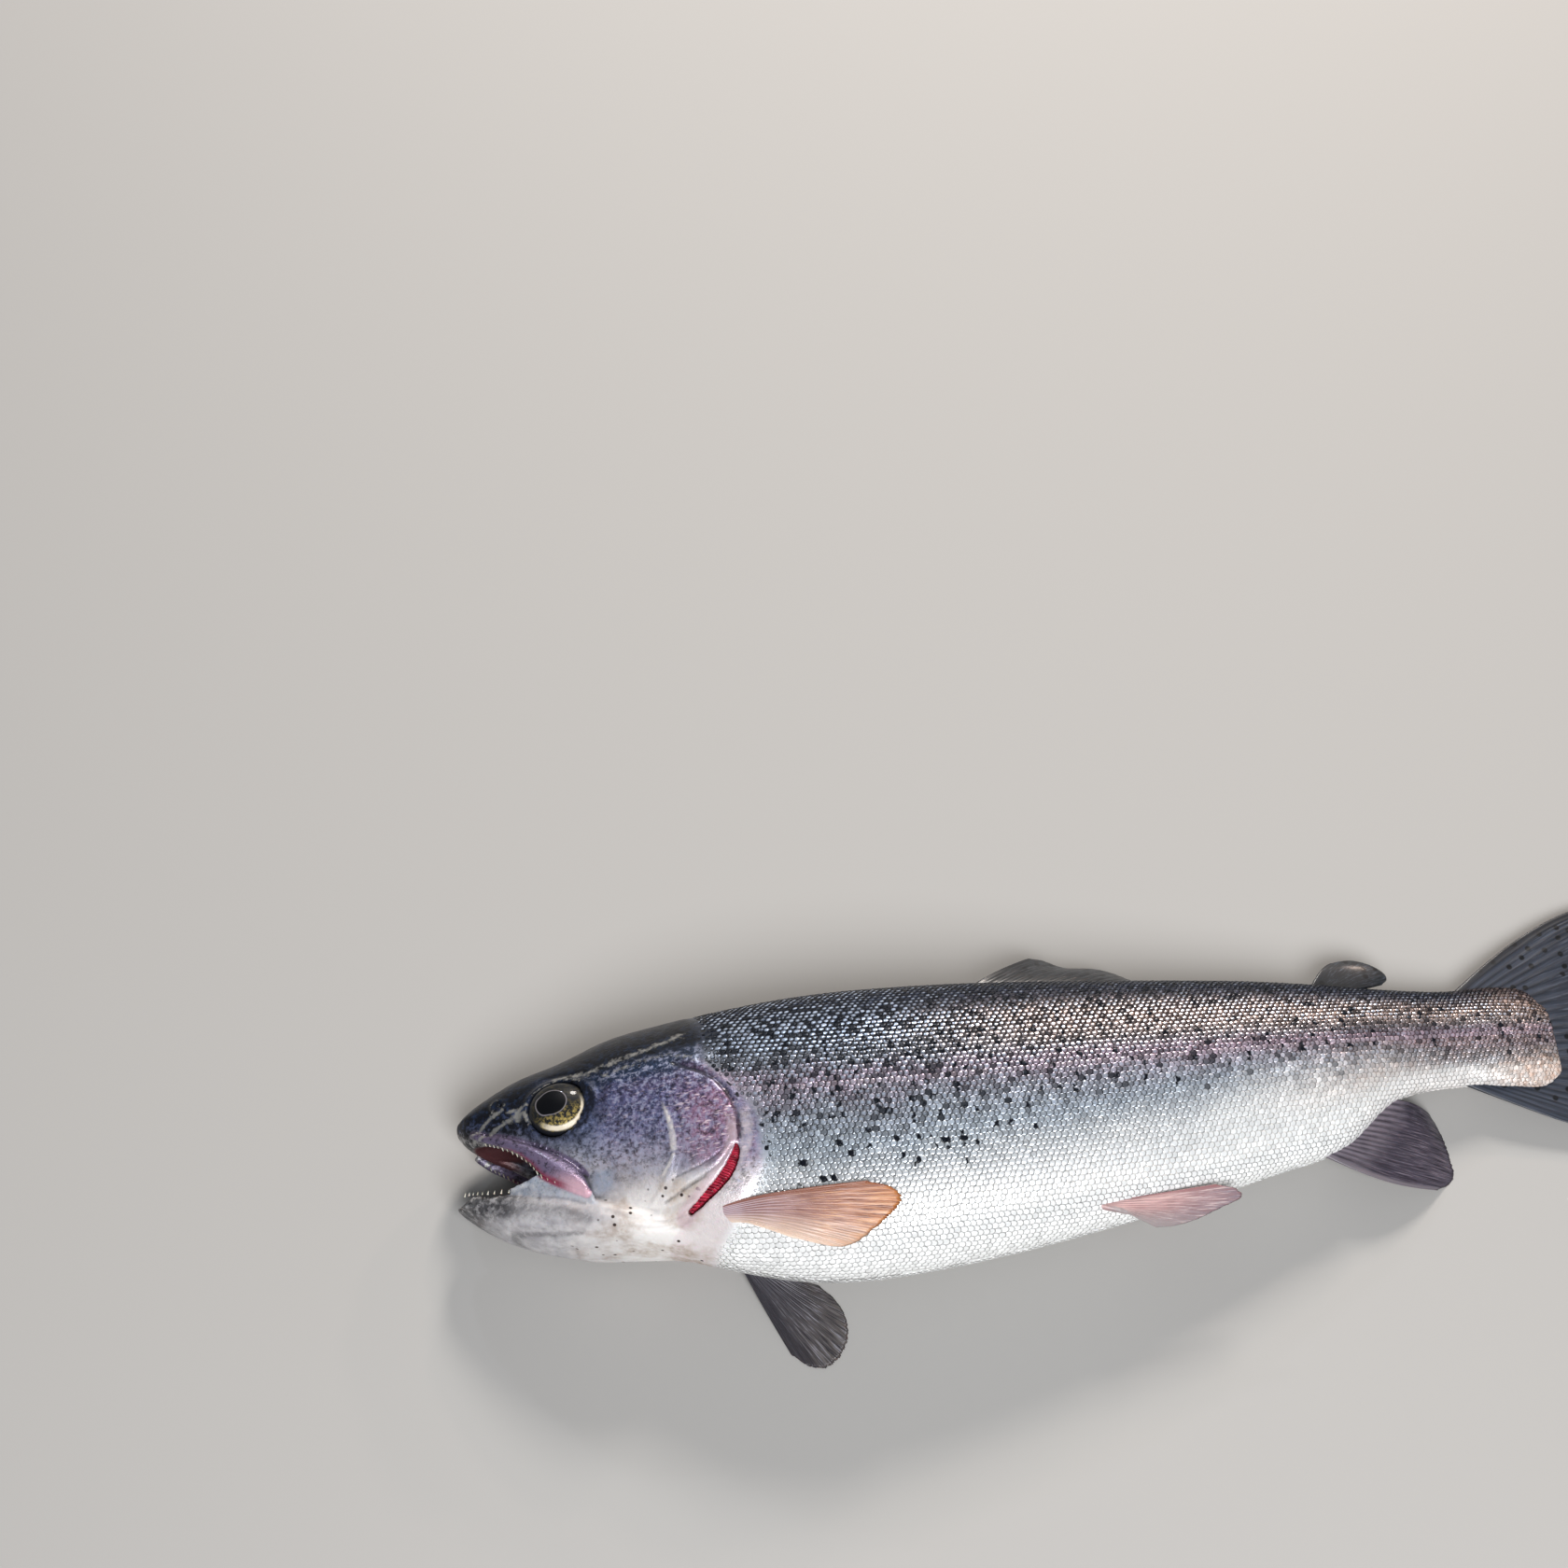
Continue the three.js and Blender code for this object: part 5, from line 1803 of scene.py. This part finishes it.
@dataclass
class Scales:
    """The coat of scales: rows that run with the lateral line, each scale over the front of the next."""

    pitch: Curve = Curve((70, 200, 270, 320), (1.78, 1.7, 1.5, 1.3))  # mm between scales of a row
    row: Curve = Curve((70, 200, 270, 320), (1.6, 1.52, 1.32, 1.15))  # mm between rows
    long: float = 1.45  # a scale's length, in pitches
    wide: float = 1.32  # its width, in rows
    buried: float = 0.16  # mm that its front lies under the skin
    lift: float = 0.25  # mm that its free edge stands over the skin
    dome: float = 0.13  # mm that its middle bulges
    ring: int = 10  # points round a scale's rim
    most: int = 4800  # scales in one piece
    seed: int = 11
    start: float = 62.0  # station of the first row that is tried
    end: float = 320.0  # station of the last
    patch: float = 0.003  # a scale's width in the unwrap
    pressed: float = 0.42  # mm from the floor in which the scales under the fish keep their order

    def columns(self) -> Array:
        """Stations at which whole steps of the row's pitch fall.

        Returns:
            The stations.
        """
        stations = np.linspace(self.start, self.end, 2000)
        steps = np.concatenate([[0], np.cumsum(np.diff(stations) / self.pitch(stations[:-1]))])
        return np.interp(np.arange(0, steps[-1], 0.5), steps, stations)

    def lattice(self) -> tuple[Array, Array, Array]:
        """Places the roots of one flank's scales.

        Returns:
            Their stations, turns, and whether each is on the lateral line.
        """
        stations, turns, line = [], [], []
        for j, station in enumerate(self.columns()):
            here = np.array([station])
            fine = np.linspace(0, math.pi, 400)
            rise, out = BODY.section(np.full(400, station), fine, SKIN_UNDER_SCALES)
            arc = np.concatenate([[0], np.cumsum(np.hypot(np.diff(rise), np.diff(out)))])
            middle = np.interp(BODY.turn_of(here, BODY.lateral_line(here))[0], fine, arc)
            k = np.arange(-80, 81)
            k = k[(k - j) % 2 == 0]
            wanted = middle + k * self.row(station)
            inside = (wanted > 0.2) & (wanted < arc[-1] - 0.2)
            turn = np.interp(wanted[inside], arc, fine)
            behind = MARKINGS.scaled(station, GIRTH.at(np.full(len(turn), station), turn)) > 0
            stations.append(np.full(behind.sum(), station))
            turns.append(turn[behind])
            line.append(k[inside][behind] == 0)
        return np.concatenate(stations), np.concatenate(turns), np.concatenate(line)

    def outline(self) -> tuple[Array, Array, Array]:
        """A scale of unit size.

        Returns:
            Its points (along, across, rim share) and its triangles, and which ring each point is on.
        """
        turn = 2 * math.pi * np.arange(self.ring) / self.ring
        blunt = 0.5 * np.sign(np.cos(turn)) * np.abs(np.cos(turn)) ** 0.85
        rim = np.stack([blunt, 0.5 * np.sin(turn)], 1)
        inner = rim * 0.6
        points = np.concatenate([rim, inner, [[0.12, 0]], [[0, 0]]])
        kind = np.repeat([0, 1, 2, 3], [self.ring, self.ring, 1, 1])
        faces = []
        for i in range(self.ring):
            k = (i + 1) % self.ring
            faces += [(i, k, self.ring + k), (i, self.ring + k, self.ring + i)]
            faces += [(self.ring + i, self.ring + k, 2 * self.ring), (k, i, 2 * self.ring + 1)]
        return points, np.array(faces), kind

    def build(self) -> list[Piece]:
        """Builds the coat, piece by piece from the head to the tail.

        Returns:
            The pieces.
        """
        stations, turns, line = self.lattice()
        rng = np.random.default_rng(self.seed)
        pieces = []
        for side in Side:
            order = np.argsort(stations, kind="stable")
            groups = np.array_split(order, math.ceil(len(order) / self.most))
            for number, group in enumerate(groups, 1):
                name = f"scales_{side.name.lower()}_{number}"
                pieces.append(self.piece(name, side, stations[group], turns[group], line[group], rng))
        TroutScale().dress(*pieces)
        return pieces

    def piece(
        self, name: str, side: Side, stations: Array, turns: Array, line: Array, rng: np.random.Generator
    ) -> Piece:
        """Builds one piece of the coat.

        Args:
            name: the piece's name.
            side: the flank it lies on.
            stations: the stations of its scales' roots.
            turns: their turns, as on the left flank.
            line: whether each is on the lateral line.
            rng: the source of the small differences.

        Returns:
            The piece.
        """
        count = len(stations)
        points, faces, kind = self.outline()
        size = len(points)
        girth = GIRTH.at(stations, turns)
        behind = MARKINGS.scaled(stations, girth)
        stations = stations + 0.09 * rng.standard_normal(count)
        turn = side.value * (turns + 0.003 * rng.standard_normal(count))
        root, along, sideways, normal = self.seats(stations, turn, side)
        young = 0.6 + 0.4 * fade(behind, 0, 6)
        length = self.long * self.pitch(stations) * young * (1 + 0.07 * rng.standard_normal(count))
        width = self.wide * self.row(stations) * young * (1 + 0.05 * rng.standard_normal(count))
        x = points[:, 0][None] * length[:, None]
        y = points[:, 1][None] * width[:, None]
        slope = points[:, 0] + 0.5
        high = -self.buried + (self.buried + self.lift) * slope
        high = high + np.array([0, self.dome, 1.5 * self.dome, -0.12])[kind]
        bulk = young * (1 - 0.65 * fade(girth, 0.66, 0.84)) * (0.9 + 0.2 * rng.random(count))
        high = high[None] * bulk[:, None]
        x = x + 0.15 * length[:, None]
        spread = root[:, None] + MM * (
            x[..., None] * along[:, None] + y[..., None] * sideways[:, None]
            + high[..., None] * normal[:, None]
        )
        flat = spread.reshape(-1, 3)
        least = FLOOR_CLEAR + 0.9 * (self.pressed - high.ravel())
        flat[:, 2] = np.maximum(flat[:, 2], least * MM)
        triangles = (faces[None] + np.arange(count)[:, None, None] * size).reshape(-1, 3)
        if side is Side.RIGHT:
            triangles = triangles[:, ::-1]
        piece = self.solid(name, flat, triangles)
        marks = MARKINGS.marks(np.repeat(root, size, 0))
        marks["bare"] *= 0
        last = 0.8 - 0.14 * fade(stations, 110, 200) + 0.12 * fade(stations, 215, 260)
        last += 0.3 * fade(stations, 285, 300)
        spread = 0.06 + 0.34 * fade(girth, last, 0.5)
        tone = np.repeat(np.exp(spread * rng.standard_normal(count)), size)
        rim = np.tile(np.where(kind == 0, 1.0, 0.4) * np.clip(slope * 1.3, 0, 1), count)
        # the painted highlight dot: full at a scale's centre, none at its rim
        inner = np.tile(np.array([0.0, 0.45, 1.0, 0.0])[kind], count)
        glint, dull = self.sparkle(stations, girth, rng)
        mark(piece, tone=np.clip(tone, 0.35, 1.8), rim=rim, dull=np.repeat(dull, size),
             glint=np.repeat(glint, size) * inner,
             line=np.repeat(line * rng.random(count) ** 0.6, size) * np.tile(kind != 0, count), **marks)
        self.unwrap(piece.data, points, stations, turns, triangles)
        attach(piece, "root")
        return piece

    def seats(self, stations: Array, turn: Array, side: Side) -> tuple[Array, Array, Array, Array]:
        """Finds where scales are rooted and which way they lie.

        Args:
            stations: the stations of their roots.
            turn: their turns round the fish.
            side: the flank they lie on.

        Returns:
            Their roots in metres, and unit vectors along the fish, sideways and out of the skin.
        """
        inset = SKIN_UNDER_SCALES
        root = BODY.skin(stations, turn, inset)
        along = BODY.skin(stations + NUDGE, turn, inset) - BODY.skin(stations - NUDGE, turn, inset)
        around = BODY.skin(stations, turn + NUDGE, inset) - BODY.skin(stations, turn - NUDGE, inset)
        rise, out = BODY.section(stations, turn + NUDGE, inset)
        rise0, out0 = BODY.section(stations, turn - NUDGE, inset)
        free = np.stack([0 * rise, rise - rise0, out - out0], 1)  # as if the skin weren't pressed flat
        around = np.where(np.linalg.norm(around, axis=1, keepdims=True) < MERGED, free * MM, around)
        along /= np.linalg.norm(along, axis=1, keepdims=True)
        normal = np.cross(around, along) * side.value
        normal /= np.linalg.norm(normal, axis=1, keepdims=True)
        flip = np.sign(np.sum(normal * np.cross(free, along) * side.value, 1, keepdims=True))
        normal *= np.where(flip == 0, 1, flip)
        return root, along, np.cross(normal, along), normal

    def solid(self, name: str, points: Array, triangles: Array) -> Piece:
        """Makes an object of many triangles.

        Args:
            name: its name.
            points: its vertices in metres.
            triangles: the vertices of each triangle.

        Returns:
            The object.
        """
        # the coat has some 15,000 scales, which only arrays can make in a reasonable time
        mesh = bpy.data.meshes.new(name)
        mesh.vertices.add(len(points))
        mesh.vertices.foreach_set("co", points.ravel())
        mesh.loops.add(triangles.size)
        mesh.loops.foreach_set("vertex_index", triangles.ravel())
        mesh.polygons.add(len(triangles))
        mesh.polygons.foreach_set("loop_start", np.arange(0, triangles.size, 3))
        mesh.update(calc_edges=True)
        mesh.polygons.foreach_set("use_smooth", [True] * len(triangles))
        piece = bpy.data.objects.new(name, mesh)
        bpy.context.scene.collection.objects.link(piece)
        return piece

    def sparkle(self, stations: Array, girth: Array, rng: np.random.Generator) -> tuple[Array, Array]:
        """Picks which scales get a painted highlight, a pale dot at the centre, and which are dulled by
        black pigment.

        Args:
            stations: the stations of the scales' roots.
            girth: their shares of the girth.
            rng: the source of chance.

        Returns:
            How large each scale's painted highlight dot is, and how dull it is.
        """
        size = (1 - 0.3 * fade(stations, 105, 160)) * (0.72 + 0.28 * fade(girth, 0.14, 0.3))
        front = size * fade(girth, 0.04, 0.1) * fade(girth, 0.46, 0.34)
        flank = 0.72 * fade(girth, 0.34, 0.44) * fade(girth, 0.7, 0.6)
        flank *= 1 - 0.2 * fade(stations, 120, 220)
        glint = np.maximum(front, flank) * (0.6 + 0.45 * rng.random(len(stations)))
        lower = 0.54 + 0.1 * fade(stations, 170, 250)
        chance = 0.15 * fade(girth, lower + 0.1, lower) * fade(girth, 0.12, 0.26)
        chance = chance * (1 - 0.5 * fade(stations, 130, 220))
        dull = (rng.random(len(stations)) < chance) * (0.55 + 0.4 * rng.random(len(stations)))
        return glint * (dull < 0.1), dull

    def unwrap(self, mesh: bpy.types.Mesh, points: Array, stations: Array, turns: Array,
               triangles: Array) -> None:
        """Gives each scale a small patch at its root's place on the flank's own unwrap.

        Args:
            mesh: the piece's mesh.
            points: the outline of a scale.
            stations: the stations of the roots.
            turns: their turns.
            triangles: the vertices of each triangle.
        """
        spans = [(0.02 + 0.96 * (x - x.min()) / (x.max() - x.min()))[:, None] for x in (stations, turns)]
        uv = np.stack([span + self.patch * points[:, k][None] for k, span in enumerate(spans)],
                      -1).reshape(-1, 2)
        layer = mesh.uv_layers.new(name="OFBake")
        layer.data.foreach_set("uv", uv[triangles.ravel()].ravel().astype(np.float32))


# --- the mouth parts ---


@dataclass(frozen=True)
class Flesh:
    """Wet flesh, such as a gill, a tongue or a lip: soft, blotched and glazed."""

    name: str
    colour: str
    dark: str
    scale: float = 400.0

    def dress(self, *pieces: Piece) -> None:
        """Puts the finish on pieces.

        Args:
            *pieces: what wears it.
        """
        p = Painter(self.name)
        where = p.add(Node.PLACE).outputs["Object"]
        blotch = p.add(Node.NOISE, {"Vector": where, "Scale": self.scale, "Detail": 4.0})
        share = p.add(Node.RAMP, (blotch,), stops=((0.35, 0.0), (0.7, 1.0)))
        surface = p.add(Node.SURFACE, {
            "Base Color": p.add(Node.LAYER, (share, self.colour, self.dark)), "Roughness": 0.35,
            "Normal": p.add(Node.BUMP, {"Strength": 0.4, "Distance": 0.0003, "Height": blotch}),
            "Coat Weight": 0.7, "Coat Roughness": 0.08, "Subsurface Weight": 0.15,
            "Subsurface Scale": 0.0015,
        })
        p.dress(surface, *pieces)


@dataclass
class Gills:
    """The red gill behind the left cover: filaments side by side along an arch."""

    filaments: int = 30
    proud: float = 1.25

    def shape(self, u: Array, w: Array) -> Array:
        """The gill's outside: u down the slit, w round it.

        Args:
            u: how far along it, 0 to 1.
            w: how far round it, 0 to 1.

        Returns:
            The points in metres.
        """
        sheet = SKIN.slit_sheet(under=2.2, depth=2.9)
        v = 1 - np.abs(2 * w - 1)
        at = 0.02 + 0.965 * u
        comb = np.abs(np.sin(np.pi * self.filaments * u + 2.2 * v))
        low = sheet(at, 0.9 * v)
        low[..., 2] += np.where(w < 0.5, 1, -1) * MM * (0.55 + self.proud * comb) * np.sqrt(
            np.clip(1 - (2 * v - 1) ** 6, 0, 1))
        return low

    def build(self) -> Piece:
        """Builds the gill.

        Returns:
            The gill.
        """
        bm = bmesh.new()
        rolled_grid(bm, self.filaments * 12, 30, self.shape)
        gill = new_object("gill_filaments", bm)
        Flesh("gill filament", "#d63a56", "#4f0917", 520.0).dress(gill)
        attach(gill, "root")
        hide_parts("gills_left")
        return gill


@dataclass
class Mouth:
    """The tongue and the fine teeth along the jaws."""

    tongue_at: tuple = (21.0, -29.6, (11.0, 2.8, 4.6))
    rim: Path = Path(((1.0, -21.1), (8.1, -23.2), (19.0, -25.4), (30.0, -28.7)))
    tooth: float = 0.9  # mm
    rim_teeth: int = 16
    rim_reach: Curve = Curve((0, 3, 9, 20, 31), (1.5, 4.6, 7.6, 10.4, 12.4))  # by station

    def tongue(self) -> Piece:
        """Builds the tongue: a flat tapering pad with a groove down its middle.

        Returns:
            The tongue.
        """
        at, level, (a, b, c) = self.tongue_at
        bm = bmesh.new()
        bmesh.ops.create_uvsphere(bm, u_segments=48, v_segments=32, radius=1.0)
        middle = float(BODY.middle(np.array(at)))
        for vert in bm.verts:
            x, y, z = vert.co
            taper = 1 - 0.25 * max(0.0, -x)
            groove = 0.14 * math.exp(-((z / 0.25) ** 2)) * max(0.0, y)
            spot = (np.array(q) for q in (at + a * x, level + b * (y - groove), middle + c * z * taper))
            vert.co = place(*spot)
        tongue = new_object("tongue_pad", bm)
        Flesh("tongue lining", "#b9908a", "#8f6d70").dress(tongue)
        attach(tongue, "root")
        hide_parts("tongue")
        return tongue

    def roots(self) -> list[tuple[Vector, Vector]]:
        """Where each tooth stands and which way it points.

        Returns:
            The roots in metres, and the ways.
        """
        found = []
        up, down = Vector((0.25, 1.0, 0.0)), Vector((0.25, -1.0, 0.0))
        for side in Side:
            for i in range(self.rim_teeth):
                share = (i + 0.5) / self.rim_teeth
                s, r = self.rim(share)
                found.append((point(s, r - 0.2, side.value * self.rim_reach(s)), up))
                share = 0.12 + 0.7 * share
                s, r = MAXILLA_LOWER(share)
                reach = SKIN.bone_reach(share) - SKIN.maxilla_bulge - 0.5
                found.append((point(s, r + 0.25, side.value * reach), down))
        return found

    def teeth(self) -> Piece:
        """Builds all the teeth as one piece.

        Returns:
            The teeth.
        """
        bm = bmesh.new()
        rng = np.random.default_rng(5)
        for where, way in self.roots():
            size = self.tooth * (0.75 + 0.5 * rng.random()) * MM
            turn = way.to_track_quat("Z", "X").to_matrix().to_4x4()
            shift = Matrix.Translation(where + way.normalized() * size * 0.25)
            bmesh.ops.create_cone(bm, cap_ends=True, segments=8, radius1=size * 0.3, radius2=size * 0.05,
                                  depth=size * 1.3, matrix=shift @ turn)
        teeth = new_object("teeth", bm)
        Flesh("tooth enamel", "#d8d2c4", "#bdb29c").dress(teeth)
        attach(teeth, "root")
        return teeth

    def build(self) -> list[Piece]:
        """Builds the tongue and the teeth."""
        return [self.tongue(), self.teeth()]


# --- the studio ---


@dataclass
class Studio:
    """A pale floor, soft lights and the camera."""

    target: Vector = field(default_factory=lambda: Vector((-0.045057, 0.129088, 0.0)))
    azimuth: float = 5.6255
    elevation: float = 60.0
    distance: float = 0.93931
    view_angle: float = 29.0
    floor_colour: str = "#aaa8a4"
    room_colour: str = "#dfe3e8"
    room_light: float = 0.2
    lights: tuple = (
        # name, place, size, watts, colour
        ("key", (0.2, 1.14, 0.78), 0.26, 13.0, "#fffaf5"),
        ("glint", (0.3, 1.25, 0.66), 0.07, 2.4, "#ffeadb"),
        ("near glint", (-0.25, 1.2, 0.7), 0.06, 1.5, "#e6eeff"),
        ("far glint", (0.9, 1.2, 0.66), 0.08, 2.4, "#ffe6d6"),
        ("fill", (0.1, -0.9, 1.1), 0.8, 23.0, "#fafbff"),
    )

    def camera(self) -> None:
        """Sets up the camera."""
        azimuth, elevation = math.radians(self.azimuth), math.radians(self.elevation)
        way = Vector((math.sin(azimuth) * math.cos(elevation), math.cos(azimuth) * math.cos(elevation),
                      -math.sin(elevation)))
        data = bpy.data.cameras.new("camera")
        data.sensor_fit = "HORIZONTAL"
        data.angle = math.radians(self.view_angle)
        data.clip_start, data.clip_end = 0.01, 20.0
        camera = bpy.data.objects.new("camera", data)
        camera.location = self.target - way * self.distance
        camera.rotation_euler = way.to_track_quat("-Z", "Y").to_euler()
        bpy.context.scene.collection.objects.link(camera)
        bpy.context.scene.camera = camera

    def floor(self) -> None:
        """Lays the floor: a plain matt sheet."""
        bm = bmesh.new()
        bmesh.ops.create_grid(bm, x_segments=1, y_segments=1, size=3.0)
        floor = new_object("floor", bm, smooth=False)
        p = Painter("matt painted board")
        p.dress(p.add(Node.SURFACE, {"Base Color": self.floor_colour, "Roughness": 0.8}), floor)

    def light(self) -> None:
        """Hangs the lights and the even light of the room."""
        for name, where, size, watts, colour in self.lights:
            data = bpy.data.lights.new(name, "AREA")
            data.color = linear(colour)[:3]
            data.shape, data.size, data.energy = "DISK", size, watts
            light = bpy.data.objects.new(name, data)
            light.location = where
            light.rotation_euler = (-Vector(where)).to_track_quat("-Z", "Y").to_euler()
            bpy.context.scene.collection.objects.link(light)
        world = bpy.data.worlds.new("room")
        world.use_nodes = True
        background = world.node_tree.nodes["Background"]
        background.inputs[0].default_value = linear(self.room_colour)
        background.inputs[1].default_value = self.room_light
        bpy.context.scene.world = world
        bpy.context.scene.view_settings.view_transform = "Standard"

    def build(self) -> None:
        """Builds the studio."""
        self.camera()
        self.floor()
        self.light()


def main() -> None:
    """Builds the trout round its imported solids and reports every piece."""
    logging.basicConfig(level=logging.INFO, format="%(message)s")
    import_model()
    Studio().build()
    pieces = [SKIN.build(), *EYES.build(), *Fins().build(), Gills().build(), *Mouth().build(),
              *Scales().build()]
    for piece in pieces:
        log.info("%s: %d triangles", piece.name, sum(len(f.vertices) - 2 for f in piece.data.polygons))


if __name__ == "__main__":
    main()
